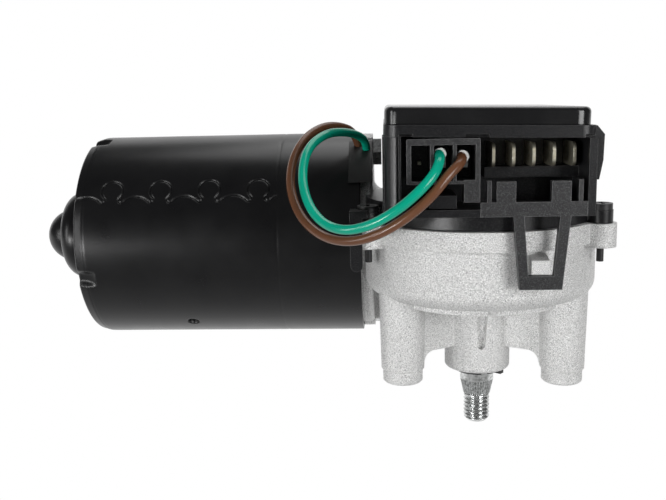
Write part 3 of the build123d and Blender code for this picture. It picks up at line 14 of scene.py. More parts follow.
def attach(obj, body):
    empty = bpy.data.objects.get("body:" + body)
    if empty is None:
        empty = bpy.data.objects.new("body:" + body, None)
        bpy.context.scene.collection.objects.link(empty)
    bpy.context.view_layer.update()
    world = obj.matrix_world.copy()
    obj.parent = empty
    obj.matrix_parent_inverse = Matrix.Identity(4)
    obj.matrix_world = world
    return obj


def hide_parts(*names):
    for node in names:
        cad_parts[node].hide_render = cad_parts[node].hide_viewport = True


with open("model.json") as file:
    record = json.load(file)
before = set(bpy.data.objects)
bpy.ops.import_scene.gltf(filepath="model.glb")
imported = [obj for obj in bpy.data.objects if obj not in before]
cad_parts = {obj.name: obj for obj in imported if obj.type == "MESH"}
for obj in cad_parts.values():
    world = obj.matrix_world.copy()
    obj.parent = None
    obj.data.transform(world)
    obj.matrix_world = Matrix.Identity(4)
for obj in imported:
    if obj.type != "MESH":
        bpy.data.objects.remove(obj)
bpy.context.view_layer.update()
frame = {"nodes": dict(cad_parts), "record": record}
NODES = frame["nodes"]
MM = 0.001

MOTOR_Y = 30.0 * MM
MOTOR_Z = 38.5 * MM


# ---- Camera -----------------------------------------------------------------------------
CAMERA_PLACE = (-0.02781, -0.24943, 0.08313)
CAMERA_TURN = -0.0665
CAMERA_DIP = 0.181
CAMERA_ROLL = -0.0239
SENSOR = 36.0
LENS = 44.31


def add_camera():
    """Looks along +Y, turned a little to -X, dipped, and rolled about its own line of sight."""
    level = Vector((sin(CAMERA_TURN), cos(CAMERA_TURN), 0))
    side = Vector((cos(CAMERA_TURN), -sin(CAMERA_TURN), 0))
    ahead = level * cos(CAMERA_DIP) - Vector((0, 0, sin(CAMERA_DIP)))
    above = level * sin(CAMERA_DIP) + Vector((0, 0, cos(CAMERA_DIP)))
    right = side * cos(CAMERA_ROLL) + above * sin(CAMERA_ROLL)
    up = above * cos(CAMERA_ROLL) - side * sin(CAMERA_ROLL)
    turn = Matrix((right, up, -ahead)).transposed().to_4x4()
    data = bpy.data.cameras.new("camera")
    data.sensor_width = SENSOR
    data.lens = LENS
    data.clip_start = 0.01
    camera = bpy.data.objects.new("camera", data)
    camera.matrix_world = Matrix.Translation(CAMERA_PLACE) @ turn
    bpy.context.scene.collection.objects.link(camera)
    bpy.context.scene.camera = camera


# ---- Finishes ---------------------------------------------------------------------------
PATCH_DETAIL = 4.0
GRAIN_DETAIL = 3.0
ROUNDING_SAMPLES = 4
EDGE_RANGE = (1.0, 0.75)      # cosines between a face and its rounded normal, from plain to fully lightened: a painted edge highlight, with some wear


def node_tree(name):
    material = bpy.data.materials.new(name)
    material.use_nodes = True
    tree = material.node_tree
    return material, tree, tree.nodes["Principled BSDF"]


def noise(tree, place, scale, detail=2.0, stretch=None):
    """Soft random values over the object's own space; stretch squeezes them along an axis."""
    pattern = tree.nodes.new("ShaderNodeTexNoise")
    pattern.inputs["Scale"].default_value = scale
    pattern.inputs["Detail"].default_value = detail
    if stretch:
        mapping = tree.nodes.new("ShaderNodeMapping")
        mapping.inputs["Scale"].default_value = stretch
        tree.links.new(place, mapping.inputs["Vector"])
        place = mapping.outputs["Vector"]
    tree.links.new(place, pattern.inputs["Vector"])
    return pattern.outputs["Fac"]


def spread(tree, value, low, high, to_low=0.0, to_high=1.0):
    """Stretches the values between low and high to the range to_low .. to_high, and clips them."""
    node = tree.nodes.new("ShaderNodeMapRange")
    for socket, number in zip(("From Min", "From Max", "To Min", "To Max"), (low, high, to_low, to_high)):
        node.inputs[socket].default_value = number
    tree.links.new(value, node.inputs["Value"])
    return node.outputs["Result"]


def blend_colours(tree, amount, first, second):
    """first and second are colours or sockets; amount 0 gives the first."""
    node = tree.nodes.new("ShaderNodeMix")
    node.data_type = "RGBA"
    tree.links.new(amount, node.inputs["Factor"])
    for socket, colour in zip((node.inputs[6], node.inputs[7]), (first, second)):
        if isinstance(colour, tuple):
            socket.default_value = (*colour, 1.0)
        else:
            tree.links.new(colour, socket)
    return node.outputs[2]


# How much the rounded edges are lightened: a painted highlight, with some wear
def edge_highlight_and_wear(tree, rounded):
    """How far a rounded normal leaves the face's own: 0 on flats and up to 1 on sharp edges."""
    geometry = tree.nodes.new("ShaderNodeNewGeometry")
    dot = tree.nodes.new("ShaderNodeVectorMath")
    dot.operation = "DOT_PRODUCT"
    tree.links.new(rounded, dot.inputs[0])
    tree.links.new(geometry.outputs["Normal"], dot.inputs[1])
    return spread(tree, dot.outputs["Value"], *EDGE_RANGE)


def finish(name, colour, patch, metallic=0.0, roughness=(0.4, 0.5), patch_scale=60.0,
           patch_range=(0.35, 0.65), grain=(2500.0, 0.00002), rounding=0.0, edge=None, stretch=None,
           **sockets):
    """A finish with patches of a second colour, a fine grain, and rounded edges lightened by a painted
    highlight with some wear.

    colour and patch are the two base colours and roughness the values in them. patch_scale is how
    fine the patches are and patch_range where one colour gives way to the other. grain is the
    relief's scale and height, rounding the radius of the shaded edges, edge the lighter colour
    painted on them as a highlight with some wear, and stretch squeezes patches and grain along an axis.
    """
    material, tree, shader = node_tree(name)
    place = tree.nodes.new("ShaderNodeTexCoord").outputs["Object"]
    patches = spread(tree, noise(tree, place, patch_scale, PATCH_DETAIL, stretch), *patch_range)
    base = blend_colours(tree, patches, colour, patch)
    relief = tree.nodes.new("ShaderNodeBump")
    relief.inputs["Strength"].default_value = 1.0
    relief.inputs["Distance"].default_value = grain[1]
    tree.links.new(noise(tree, place, grain[0], GRAIN_DETAIL, stretch), relief.inputs["Height"])
    if rounding:
        bevel = tree.nodes.new("ShaderNodeBevel")
        bevel.samples = ROUNDING_SAMPLES
        bevel.inputs["Radius"].default_value = rounding
        tree.links.new(bevel.outputs["Normal"], relief.inputs["Normal"])
        if edge:
            # the rounded edges take the lighter edge colour: a painted highlight, with some wear
            base = blend_colours(tree, edge_highlight_and_wear(tree, bevel.outputs["Normal"]), base, edge)
    tree.links.new(base, shader.inputs["Base Color"])
    tree.links.new(spread(tree, patches, 0.0, 1.0, *roughness), shader.inputs["Roughness"])
    tree.links.new(relief.outputs["Normal"], shader.inputs["Normal"])
    shader.inputs["Metallic"].default_value = metallic
    for socket, number in sockets.items():
        shader.inputs[socket.replace("_", " ")].default_value = number
    return material


# edge is the lighter colour painted on rounded edges: a painted highlight, with some wear
LOOKS = {
    "cast_aluminium": dict(
        colour=(0.93, 0.93, 0.92), patch=(0.28, 0.28, 0.28), metallic=0.5, roughness=(0.42, 0.6),
        patch_scale=5200.0, patch_range=(0.41, 0.63), grain=(4500.0, 0.0002), rounding=0.0006,
        edge=(0.88, 0.88, 0.87)),
    "black_enamel": dict(
        colour=(0.0035, 0.0035, 0.004), patch=(0.006, 0.006, 0.0065), metallic=0.0,
        roughness=(0.27, 0.33), patch_scale=90.0, patch_range=(0.3, 0.7), grain=(2600.0, 0.000008),
        rounding=0.0005, Specular_IOR_Level=0.32),
    "sintered_bronze": dict(
        colour=(0.42, 0.27, 0.13), patch=(0.33, 0.20, 0.09), metallic=0.9, roughness=(0.45, 0.6),
        patch_scale=900.0),
    "spring_steel": dict(
        colour=(0.42, 0.42, 0.44), patch=(0.3, 0.3, 0.32), metallic=1.0, roughness=(0.3, 0.4),
        patch_scale=300.0),
    "ferrite": dict(
        colour=(0.06, 0.06, 0.065), patch=(0.09, 0.09, 0.09), metallic=0.0, roughness=(0.6, 0.75),
        patch_scale=400.0),
    "zinc_plated_steel": dict(
        colour=(0.72, 0.73, 0.73), patch=(0.38, 0.39, 0.38), metallic=1.0, roughness=(0.14, 0.26),
        patch_scale=1200.0, patch_range=(0.4, 0.65), grain=(1800.0, 0.00002), rounding=0.00015),
    "bearing_steel": dict(
        colour=(0.6, 0.61, 0.63), patch=(0.5, 0.5, 0.52), metallic=1.0, roughness=(0.16, 0.26),
        patch_scale=200.0),
    "black_steel": dict(
        colour=(0.02, 0.02, 0.022), patch=(0.035, 0.034, 0.033), metallic=0.4,
        roughness=(0.35, 0.5), patch_scale=300.0, rounding=0.0002),
    "white_plastic": dict(
        colour=(0.76, 0.74, 0.66), patch=(0.7, 0.68, 0.6), metallic=0.0, roughness=(0.35, 0.45),
        patch_scale=120.0, rounding=0.0002),
    "grained_black_plastic": dict(
        colour=(0.006, 0.006, 0.007), patch=(0.085, 0.085, 0.087), metallic=0.0,
        roughness=(0.36, 0.6), patch_scale=4400.0, patch_range=(0.50, 0.74),
        grain=(4400.0, 0.00008), rounding=0.0003, edge=(0.22, 0.22, 0.222)),
    "moulded_black_plastic": dict(
        colour=(0.006, 0.006, 0.007), patch=(0.030, 0.030, 0.031), metallic=0.0,
        roughness=(0.28, 0.42), patch_scale=3200.0, patch_range=(0.45, 0.80),
        grain=(3200.0, 0.00003), rounding=0.0003, edge=(0.07, 0.07, 0.071),
        Specular_IOR_Level=0.34),
    "bright_tin": dict(
        colour=(0.93, 0.93, 0.91), patch=(0.85, 0.85, 0.82), metallic=0.6, roughness=(0.35, 0.45),
        patch_scale=900.0, rounding=0.0001),
    "smooth_black_plastic": dict(
        colour=(0.007, 0.007, 0.0075), patch=(0.010, 0.010, 0.0105), metallic=0.0,
        roughness=(0.14, 0.22), patch_scale=60.0, grain=(900.0, 0.000004), rounding=0.0004),
    "brown_laminate": dict(
        colour=(0.25, 0.13, 0.05), patch=(0.18, 0.09, 0.035), metallic=0.0, roughness=(0.45, 0.6),
        patch_scale=200.0, stretch=(1, 1, 8)),
    "green_laminate": dict(
        colour=(0.02, 0.16, 0.06), patch=(0.015, 0.12, 0.05), metallic=0.0, roughness=(0.25, 0.35),
        patch_scale=150.0),
    "brass": dict(
        colour=(0.72, 0.53, 0.22), patch=(0.6, 0.42, 0.17), metallic=1.0, roughness=(0.25, 0.4),
        patch_scale=250.0, rounding=0.0001),
    "tinned_brass": dict(
        colour=(0.52, 0.50, 0.42), patch=(0.40, 0.37, 0.28), metallic=0.85, roughness=(0.34, 0.48),
        patch_scale=900.0, rounding=0.00012, edge=(0.75, 0.73, 0.64)),
    "carbon": dict(
        colour=(0.03, 0.03, 0.03), patch=(0.05, 0.045, 0.04), metallic=0.1, roughness=(0.5, 0.7),
        patch_scale=900.0),
    "copper": dict(
        colour=(0.6, 0.27, 0.12), patch=(0.45, 0.18, 0.07), metallic=1.0, roughness=(0.25, 0.4),
        patch_scale=900.0, stretch=(6, 1, 1)),
    "electrical_steel": dict(
        colour=(0.3, 0.3, 0.32), patch=(0.2, 0.2, 0.21), metallic=1.0, roughness=(0.35, 0.5),
        patch_scale=500.0, stretch=(8, 1, 1)),
    "black_rubber": dict(
        colour=(0.006, 0.006, 0.006), patch=(0.009, 0.009, 0.009), metallic=0.0,
        roughness=(0.5, 0.6), patch_scale=400.0, rounding=0.0004),
    "green_insulation": dict(
        colour=(0.0, 0.38, 0.245), patch=(0.0, 0.34, 0.215), metallic=0.0, roughness=(0.13, 0.18),
        patch_scale=70.0, grain=(900.0, 0.000006), Specular_IOR_Level=0.4),
    "brown_insulation": dict(
        colour=(0.150, 0.062, 0.030), patch=(0.128, 0.051, 0.024), metallic=0.0,
        roughness=(0.18, 0.25), patch_scale=70.0, grain=(900.0, 0.000006), Specular_IOR_Level=0.4),
}
FINISHES = {name: finish(name, **look) for name, look in LOOKS.items()}
BRIGHT_NODES = ("plug_terminals",)    # freshly tinned, so brighter than the other contacts


def dress_nodes():
    """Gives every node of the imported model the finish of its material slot."""
    for part in frame["record"]["subparts"]:
        mesh = NODES[part["node"]].data
        mesh.materials.clear()
        slot = "bright_tin" if part["node"] in BRIGHT_NODES else part["material_slot"]
        mesh.materials.append(FINISHES[slot])


# ---- Surfaces from grids ----------------------------------------------------------------
SAME_PLACE = 1e-6
SHARP_ANGLE = 40.0


def piece_from_grid(name, points, slot, body, ring_rows=False):
    """A mesh on a grid of points whose columns close round; ring_rows closes the rows as well.

    Points that fall together, as at a pole, are merged, and faces are turned outwards.
    """
    rows, columns, _ = points.shape
    row = np.arange(rows if ring_rows else rows - 1)[:, None]
    column = np.arange(columns)[None, :]
    after = (row + 1) % rows
    beside = (column + 1) % columns
    corners = (row * columns + column, row * columns + beside,
               after * columns + beside, after * columns + column)
    faces = np.stack(corners, axis=-1).reshape(-1, 4)
    mesh = bpy.data.meshes.new(name)
    mesh.from_pydata(points.reshape(-1, 3).tolist(), [], faces.tolist())
    work = bmesh.new()
    work.from_mesh(mesh)
    bmesh.ops.remove_doubles(work, verts=work.verts, dist=SAME_PLACE)
    bmesh.ops.recalc_face_normals(work, faces=work.faces)
    work.to_mesh(mesh)
    work.free()
    mesh.shade_smooth()
    mesh.set_sharp_from_angle(angle=radians(SHARP_ANGLE))
    mesh.materials.append(FINISHES[slot])
    piece = bpy.data.objects.new(name, mesh)
    bpy.context.scene.collection.objects.link(piece)
    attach(piece, body)
    return piece


def stations(*spans):
    """Places along a line from (start, end, step) spans, each evenly divided."""
    pieces = []
    for start, end, step in spans:
        count = max(2, round(abs(end - start) / step) + 1)
        pieces.append(np.linspace(start, end, count))
    return np.unique(np.concatenate(pieces))


# ---- Motor can --------------------------------------------------------------------------
# Millimetres, and degrees round the can: 0 is away from the sockets, 90 is up, 180 faces them.
CAN_REAR = -125.6
CAN_MOUTH = -35.8
CAN_R = 33.6
CAN_BORE = 31.2
CAP_SEAT = 4.05               # from the rear rim forwards
REAR_GAP = 0.02               # from the rear rim to the bore's end
MOUTH_CHAMFER = (0.05, 0.3)   # along the can, and towards its axis
RIM_ROUND = 0.7
RIM_BEVEL = (3.0, 0.8)        # along the can, and towards its axis
RIM_LINE = (0.12, 0.2)        # depth and half width of the fine line in front of the bevel
SEAM_ANGLE = 152.0
SEAM_END = -61.5
SEAM_RING = (0.07, 0.3)       # depth and half width of the ring at the seam's front end
SEAM_MIDDLE = 2.5             # from the seam's angle round to the middle of its tabs
SEAM_REACH = 7.0              # how far round from its middle the seam is drawn
TAB_PITCH = 15.4
FIRST_TAB = -113.4
TABS = 4
TAB_HEAD_R = 3.4
TAB_HEAD_OFF = 2.75           # from the seam's angle round to the head's centre
TAB_NECK_R = 0.95
TAB_NECK_ANGLE = -46.0        # where the head runs into its neck
BETWEEN_TABS = 0.7            # from the seam's angle round to the top of the rise
GROOVE_DEPTH = 0.45
GROOVE_WIDTH = 0.26
DENT_ANGLES = (20.0, 104.0, 196.0, 290.0)
DENT_SIZE = (6.2, 2.3, 2.1)   # length, half width and depth
DRAIN = (-91.6, 231.0, 1.6)   # place along the can, angle and radius
DRAIN_DEPTH = 2.3
DRAIN_EDGE = 0.08             # over which the drain's wall falls
CAN_ANGLES = (                # spans of angles and their steps, finer where there is more detail
    (0, 14, 2.0), (14, 26, 0.75), (26, 98, 2.0), (98, 110, 0.75), (110, 138, 2.0), (138, 158, 0.42),
    (158, 190, 1.0), (190, 202, 0.5), (202, 226, 2.0), (226, 236, 0.4), (236, 284, 2.0),
    (284, 296, 0.75), (296, 358, 2.0))
SEAM_STEP = 0.28
PLAIN_STEP = 1.5


def arc(centre, radius, start, end, steps=24):
    angles = np.radians(np.linspace(start, end, steps))
    return np.stack([centre[0] + radius * np.cos(angles), centre[1] + radius * np.sin(angles)], axis=-1)


def seam_line():
    """The interlocking joint laid flat, as (along the can, round it): per tab a round head, two small
    returns at its neck and a shallow rise to the next, all arcs that run into each other."""
    head = np.array([0.0, TAB_HEAD_OFF])
    leave = radians(TAB_NECK_ANGLE)
    turn = head + (TAB_HEAD_R + TAB_NECK_R) * np.array([cos(leave), sin(leave)])
    gap = TAB_PITCH / 2 - turn[0]
    top = BETWEEN_TABS - turn[1]
    rise_r = (gap ** 2 + top ** 2 - TAB_NECK_R ** 2) / (2 * (TAB_NECK_R + top))
    rise = np.array([TAB_PITCH / 2, BETWEEN_TABS - rise_r])
    toward = np.degrees(np.arctan2(*(rise - turn)[::-1]))
    half = np.concatenate([
        arc(head, TAB_HEAD_R, 90, TAB_NECK_ANGLE),
        arc(turn, TAB_NECK_R, 180 + TAB_NECK_ANGLE, 360 + toward),
        arc(rise, rise_r, 180 + toward, 90)])
    whole = np.concatenate([half[::-1] * (-1, 1), half])
    tabs = [whole + (FIRST_TAB + i * TAB_PITCH, 0) for i in range(TABS)]
    lead_in = np.array([[CAN_REAR, 0.3], [FIRST_TAB - TAB_PITCH / 2, BETWEEN_TABS]])
    lead_out = np.array([[FIRST_TAB + (TABS - 0.5) * TAB_PITCH, BETWEEN_TABS], [SEAM_END + 4, 0.5]])
    return np.concatenate([lead_in, *tabs, lead_out])


def distance_to(line, along, around):
    """Shortest distance from each point to a line of short straight pieces."""
    best = np.full(along.shape, np.inf)
    for start, end in zip(line, line[1:]):
        run = end - start
        length = max(np.hypot(*run), 1e-9)
        t = np.clip(((along - start[0]) * run[0] + (around - start[1]) * run[1]) / length ** 2, 0, 1)
        best = np.minimum(best, np.hypot(along - start[0] - t * run[0], around - start[1] - t * run[1]))
    return best


def can_outside(x, angle):
    """Radius of the can's outside: plain, less a groove along the seam, a faint ring at the seam's
    front end, a round drain, a bevel with a fine line round the rear rim, and four dents in it."""
    around = np.radians(SEAM_ANGLE - angle) * CAN_R
    near = abs(around - SEAM_MIDDLE) < SEAM_REACH
    groove = np.zeros_like(x)
    groove[near] = np.exp(-(distance_to(seam_line(), x[near], around[near]) / GROOVE_WIDTH) ** 2)
    groove[x > SEAM_END] = 0
    radius = CAN_R - GROOVE_DEPTH * groove
    ring_depth, ring_half = SEAM_RING
    radius -= ring_depth * np.exp(-((x - SEAM_END) / ring_half) ** 2)
    drain_x, drain_angle, drain_r = DRAIN
    off = np.hypot(x - drain_x, np.radians(angle - drain_angle) * CAN_R)
    radius -= DRAIN_DEPTH / (1 + np.exp((off - drain_r) / DRAIN_EDGE))
    bevel_l, bevel_h = RIM_BEVEL
    from_rear = x - CAN_REAR
    radius -= bevel_h * np.clip(1 - from_rear / bevel_l, 0, 1)
    line_depth, line_half = RIM_LINE
    radius -= line_depth * np.exp(-((from_rear - bevel_l - line_half) / line_half) ** 2)
    dent_l, dent_w, dent_h = DENT_SIZE
    for middle in DENT_ANGLES:
        wide = np.radians((angle - middle + 180) % 360 - 180) * CAN_R
        floor = CAN_R - dent_h * np.sqrt(np.clip(1 - from_rear / dent_l, 0, 1))
        inside = np.exp(-(wide / dent_w) ** 4)
        radius = radius * (1 - inside) + np.minimum(radius, floor) * inside
    return radius


def motor_can():
    """A closed shell: its profile runs along the outside, round the mouth, back along the bore and
    round the rear rim, and is carried once round the motor's axis."""
    chamfer_l, chamfer_h = MOUTH_CHAMFER
    seam_past = SEAM_END + 1
    outside = stations((CAN_REAR + RIM_ROUND, seam_past, SEAM_STEP), (seam_past, CAN_MOUTH - 0.3, PLAIN_STEP))
    bend = np.radians(np.linspace(180, 90, 8))[:-1]
    rim_x = CAN_REAR + RIM_ROUND * (1 + np.cos(bend))
    rim_drop = RIM_ROUND * (1 - np.sin(bend))
    inside_x = np.linspace(CAN_MOUTH, CAN_REAR + CAP_SEAT, 12)
    angles = stations(*CAN_ANGLES)
    x, angle = np.meshgrid(np.concatenate([rim_x, outside]), angles, indexing="ij")
    radius = can_outside(x, angle)
    radius[:len(rim_x)] -= rim_drop[:, None]
    bore_x = np.concatenate([[CAN_MOUTH - chamfer_l, CAN_MOUTH], inside_x, [CAN_REAR + REAR_GAP]])
    bore_x, bore_angle = np.meshgrid(bore_x, angles, indexing="ij")
    bore_r = np.full_like(bore_x, CAN_BORE)
    bore_r[0] = CAN_R
    bore_r[1] = CAN_R - chamfer_h
    x = np.concatenate([x, bore_x])
    angle = np.radians(np.concatenate([angle, bore_angle]))
    radius = np.concatenate([radius, bore_r])
    y = MOTOR_Y / MM + radius * np.cos(angle)
    z = MOTOR_Z / MM + radius * np.sin(angle)
    points = np.stack([x, y, z], axis=-1)
    shell = piece_from_grid("can_shell", points * MM, "black_enamel", "housing", ring_rows=True)
    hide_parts("motor_can")


# ---- Output shaft -----------------------------------------------------------------------
SHAFT_R = 5.2
SHAFT_TOP = 45.0
SHAFT_CHAMFER = 0.7
THREAD_R = 4.0
THREAD_PITCH = 1.25
THREAD_DEPTH = 0.72
THREAD_LOW = -17.5
THREAD_TOP = -8.9
THREAD_FLANK = (1.25, 0.12)   # steepness of the flanks, and how much of their foot is flat
TIP_FADE = 0.9                # over which the thread grows from its tip
TIP_LEAST = 0.25              # share of its depth that the thread starts with
TOP_FADE = 0.8
TIP_R = 3.1
TIP_SLOPE = 0.9
NECK_R = 3.75                 # between thread and knurl
KNURL_LOW = -8.6
KNURL_TOP = -3.8
KNURL_LOW_R = 4.15
KNURL_TEETH = 36
KNURL_DEPTH = 0.6
KNURL_FLANK = (1.5, 0.25)     # as for the thread
CLIP_GROOVE = (-0.81, 0.09)   # low and top
CLIP_GROOVE_R = 4.72
THREAD_STEP = 0.09
TOOTH_STEPS = 8
STEP_WALL = 0.01              # half the height over which the circlip's groove steps in
JUST_UNDER = 0.001


def shaft_radius(z, angle):
    """Radius by height: a right-hand V thread that fades in and out, V teeth on a cone, a plain
    rod with a groove for the circlip, and small chamfers at the ends."""
    turn = (z / THREAD_PITCH - angle / tau) % 1.0
    steep, flat = THREAD_FLANK
    flank = np.clip(steep * abs(2 * turn - 1) - flat, 0, 1)
    fade = np.clip((z - THREAD_LOW) / TIP_FADE, TIP_LEAST, 1)
    fade = fade * np.clip((THREAD_TOP - z) / TOP_FADE, 0, 1)
    thread = THREAD_R - THREAD_DEPTH * (1 - flank) * fade
    thread = np.minimum(thread, TIP_R + (z - THREAD_LOW) * TIP_SLOPE)
    neck = np.clip((z - THREAD_TOP) / (KNURL_LOW - THREAD_TOP), 0, 1)
    thread = thread * (1 - neck) + NECK_R * neck
    steep, flat = KNURL_FLANK
    across_tooth = (angle / tau * KNURL_TEETH) % 1.0
    tooth = np.clip(steep * abs(2 * across_tooth - 1) - flat, 0, 1)
    cone = KNURL_LOW_R + (z - KNURL_LOW) / (KNURL_TOP - KNURL_LOW) * (SHAFT_R - KNURL_LOW_R)
    knurl = cone - KNURL_DEPTH * tooth
    rod = np.full_like(z, SHAFT_R)
    groove_low, groove_top = CLIP_GROOVE
    rod[(z > groove_low) & (z < groove_top)] = CLIP_GROOVE_R
    rod = np.minimum(rod, SHAFT_R - SHAFT_CHAMFER + (SHAFT_TOP - z))
    return np.where(z < KNURL_LOW, thread, np.where(z < KNURL_TOP, knurl, rod))


def output_shaft():
    groove_low, groove_top = CLIP_GROOVE
    z = stations(
        (THREAD_LOW, KNURL_LOW - JUST_UNDER, THREAD_STEP), (KNURL_LOW, KNURL_TOP - JUST_UNDER, 1.2),
        (KNURL_TOP, groove_low - STEP_WALL, 1.5), (groove_low + STEP_WALL, groove_top - STEP_WALL, 0.88),
        (groove_top + STEP_WALL, SHAFT_TOP - SHAFT_CHAMFER, 22.0),
        (SHAFT_TOP - SHAFT_CHAMFER, SHAFT_TOP, SHAFT_CHAMFER))
    columns = KNURL_TEETH * TOOTH_STEPS
    angles = np.arange(columns) * tau / columns
    height, angle = np.meshgrid(z, angles, indexing="ij")
    radius = shaft_radius(height, angle)
    ends = np.zeros((1, len(angles)))
    radius = np.concatenate([ends, radius, ends])
    height = np.concatenate([height[:1], height, height[-1:]])
    angle = np.concatenate([angle[:1], angle, angle[-1:]])
    points = np.stack([radius * np.cos(angle), radius * np.sin(angle), height], axis=-1)
    shaft = piece_from_grid("threaded_output_shaft", points * MM, "zinc_plated_steel", "output")
    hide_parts("output_shaft")


# ---- Wires ------------------------------------------------------------------------------
WIRE_D = 0.0026
GREEN_ROUTE = [
    (-14.08, -36.6, 68.8), (-13.9, -41.0, 68.2), (-15.5, -44.6, 64.6), (-19.6, -46.2, 60.2),
    (-25.2, -45.9, 55.5), (-32.0, -43.7, 51.4), (-39.0, -40.2, 49.6), (-45.1, -35.2, 51.2),
    (-49.3, -29.0, 55.9), (-51.3, -22.0, 62.4), (-50.3, -14.4, 69.5), (-45.7, -6.1, 73.4),
    (-40.3, 1.4, 73.6), (-36.1, 7.4, 72.2), (-33.8, 11.0, 69.8), (-33.8, 12.6, 66.4)]
BROWN_ROUTE = [
    (-8.4, -36.6, 68.1), (-8.3, -41.0, 67.4), (-12.1, -43.8, 64.2), (-16.0, -45.0, 59.3),
    (-21.7, -44.4, 54.1), (-28.8, -42.3, 49.3), (-36.6, -38.2, 46.3), (-44.4, -32.2, 46.4),
    (-51.2, -25.5, 50.5), (-55.2, -17.8, 57.9), (-55.3, -9.8, 65.9), (-51.9, -2.2, 72.3),
    (-46.8, 4.2, 75.3), (-41.8, 9.4, 75.1), (-37.3, 12.6, 72.9), (-36.1, 14.2, 67.6)]


def wire(name, route, slot, node):
    """A smooth spline drawn by the route's points, as thick as the insulation."""
    curve = bpy.data.curves.new(name, "CURVE")
    curve.dimensions = "3D"
    curve.bevel_depth = WIRE_D / 2
    curve.bevel_resolution = 6
    curve.use_fill_caps = True
    spline = curve.splines.new("NURBS")
    spline.points.add(len(route) - 1)
    for point, place in zip(spline.points, route):
        point.co = (*(value * MM for value in place), 1.0)
    spline.order_u = 3
    spline.use_endpoint_u = True
    spline.resolution_u = 12
    curve.materials.append(FINISHES[slot])
    piece = bpy.data.objects.new(name, curve)
    bpy.context.scene.collection.objects.link(piece)
    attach(piece, "housing")
    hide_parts(node)


# ---- Studio -----------------------------------------------------------------------------
FLOOR_Z = -0.09
FLOOR_HALF_WIDTH = 2.5
FLOOR_FRONT_Y = (-0.42, -0.2)
BEND_Y = 0.9                  # where the sheet starts to curve up
BEND_R = 0.6
SHEET_HEIGHT = 1.6
FLOOR_GREY = 0.45
FLOOR_ROUGHNESS = 0.9
DARK_Y = -0.14                # in mirrors the floor is dark from here forwards
LIT_Y = 0.05                  # and fully lit from here back
DARK_SHARE = 0.12
SKY_LIGHT = 0.12
LAMP_AIM = (-0.04, 0.0, 0.035)
LAMPS = {                     # place, size and power of each soft box
    "low_left_box": ((-0.62, -0.72, -0.04), (0.26, 0.14), 3.4),
    "right_box": ((0.58, -0.78, 0.22), (0.5, 0.5), 6.2),
    "left_box": ((-0.88, -0.46, 0.10), (0.15, 0.5), 2.0),
    "top_box": ((0.1, 0.30, 0.8), (0.8, 0.5), 3.0),
}


def seen_or_mirrored(tree):
    """How far the floor glows: fully where it is looked at straight or through glass, and in
    mirrors less and less towards the front, as the front of the studio is dark."""
    path = tree.nodes.new("ShaderNodeLightPath")
    place = tree.nodes.new("ShaderNodeTexCoord").outputs["Object"]
    axes = tree.nodes.new("ShaderNodeSeparateXYZ")
    tree.links.new(place, axes.inputs["Vector"])
    mirrored = tree.nodes.new("ShaderNodeMath")
    mirrored.operation = "MULTIPLY"
    tree.links.new(spread(tree, axes.outputs["Y"], DARK_Y, LIT_Y, DARK_SHARE, 1.0), mirrored.inputs[0])
    tree.links.new(path.outputs["Is Glossy Ray"], mirrored.inputs[1])
    total = mirrored.outputs["Value"]
    for ray in ("Is Camera Ray", "Is Transmission Ray"):
        either = tree.nodes.new("ShaderNodeMath")
        either.operation = "MAXIMUM"
        tree.links.new(total, either.inputs[0])
        tree.links.new(path.outputs[ray], either.inputs[1])
        total = either.outputs["Value"]
    return total


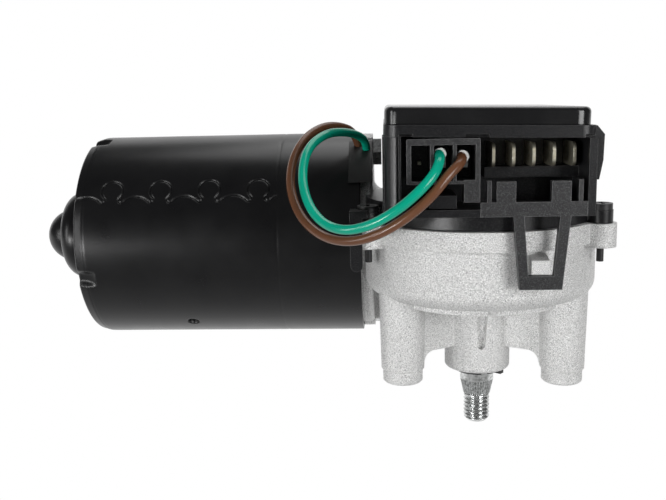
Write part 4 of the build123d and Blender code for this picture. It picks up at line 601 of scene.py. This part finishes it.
def add_floor():
    """A large pale sheet that curves up behind the object."""
    across = np.linspace(-FLOOR_HALF_WIDTH, FLOOR_HALF_WIDTH, 9)
    bend = np.radians(np.linspace(0, 90, 13))
    y = np.concatenate([FLOOR_FRONT_Y, BEND_Y + BEND_R * np.sin(bend), [BEND_Y + BEND_R]])
    z = np.concatenate([[0, 0], BEND_R * (1 - np.cos(bend)), [SHEET_HEIGHT]]) + FLOOR_Z
    grid = np.stack(np.broadcast_arrays(across[None, :], y[:, None], z[:, None]), axis=-1)
    rows, columns, _ = grid.shape
    index = np.arange(rows * columns).reshape(rows, columns)
    faces = np.stack([index[:-1, :-1], index[:-1, 1:], index[1:, 1:], index[1:, :-1]], axis=-1)
    mesh = bpy.data.meshes.new("floor")
    mesh.from_pydata(grid.reshape(-1, 3).tolist(), [], faces.reshape(-1, 4).tolist())
    mesh.shade_smooth()
    material, tree, shader = node_tree("pale_floor")
    shader.inputs["Base Color"].default_value = (FLOOR_GREY, FLOOR_GREY, FLOOR_GREY, 1)
    shader.inputs["Roughness"].default_value = FLOOR_ROUGHNESS
    glow = tree.nodes.new("ShaderNodeEmission")
    glow.inputs["Strength"].default_value = 1.0
    mix = tree.nodes.new("ShaderNodeMixShader")
    tree.links.new(seen_or_mirrored(tree), mix.inputs["Fac"])
    tree.links.new(shader.outputs["BSDF"], mix.inputs[1])
    tree.links.new(glow.outputs["Emission"], mix.inputs[2])
    tree.links.new(mix.outputs["Shader"], tree.nodes["Material Output"].inputs["Surface"])
    mesh.materials.append(material)
    floor = bpy.data.objects.new("floor", mesh)
    bpy.context.scene.collection.objects.link(floor)


def add_lamp(name, place, size, power):
    """A rectangular soft box that faces the middle of the object."""
    data = bpy.data.lights.new(name, "AREA")
    data.shape = "RECTANGLE"
    data.size, data.size_y = size
    data.energy = power
    lamp = bpy.data.objects.new(name, data)
    turn = (Vector(LAMP_AIM) - Vector(place)).to_track_quat("-Z", "Y")
    lamp.matrix_world = Matrix.Translation(place) @ turn.to_matrix().to_4x4()
    bpy.context.scene.collection.objects.link(lamp)


def add_studio():
    world = bpy.data.worlds.new("studio")
    bpy.context.scene.world = world
    world.use_nodes = True
    tree = world.node_tree
    sky = tree.nodes["Background"]
    sky.inputs["Color"].default_value = (1, 1, 1, 1)
    path = tree.nodes.new("ShaderNodeLightPath")
    strength = spread(tree, path.outputs["Is Camera Ray"], 0.0, 1.0, SKY_LIGHT, 1.0)
    tree.links.new(strength, sky.inputs["Strength"])
    add_floor()
    for name, (place, size, power) in LAMPS.items():
        add_lamp(name, place, size, power)


# ---- The whole object -------------------------------------------------------------------
add_camera()
wire("green_lead", GREEN_ROUTE, "green_insulation", "green_wire")
wire("brown_lead", BROWN_ROUTE, "brown_insulation", "brown_wire")
dress_nodes()
motor_can()
output_shaft()
add_studio()
bpy.context.scene.view_settings.view_transform = "Standard"
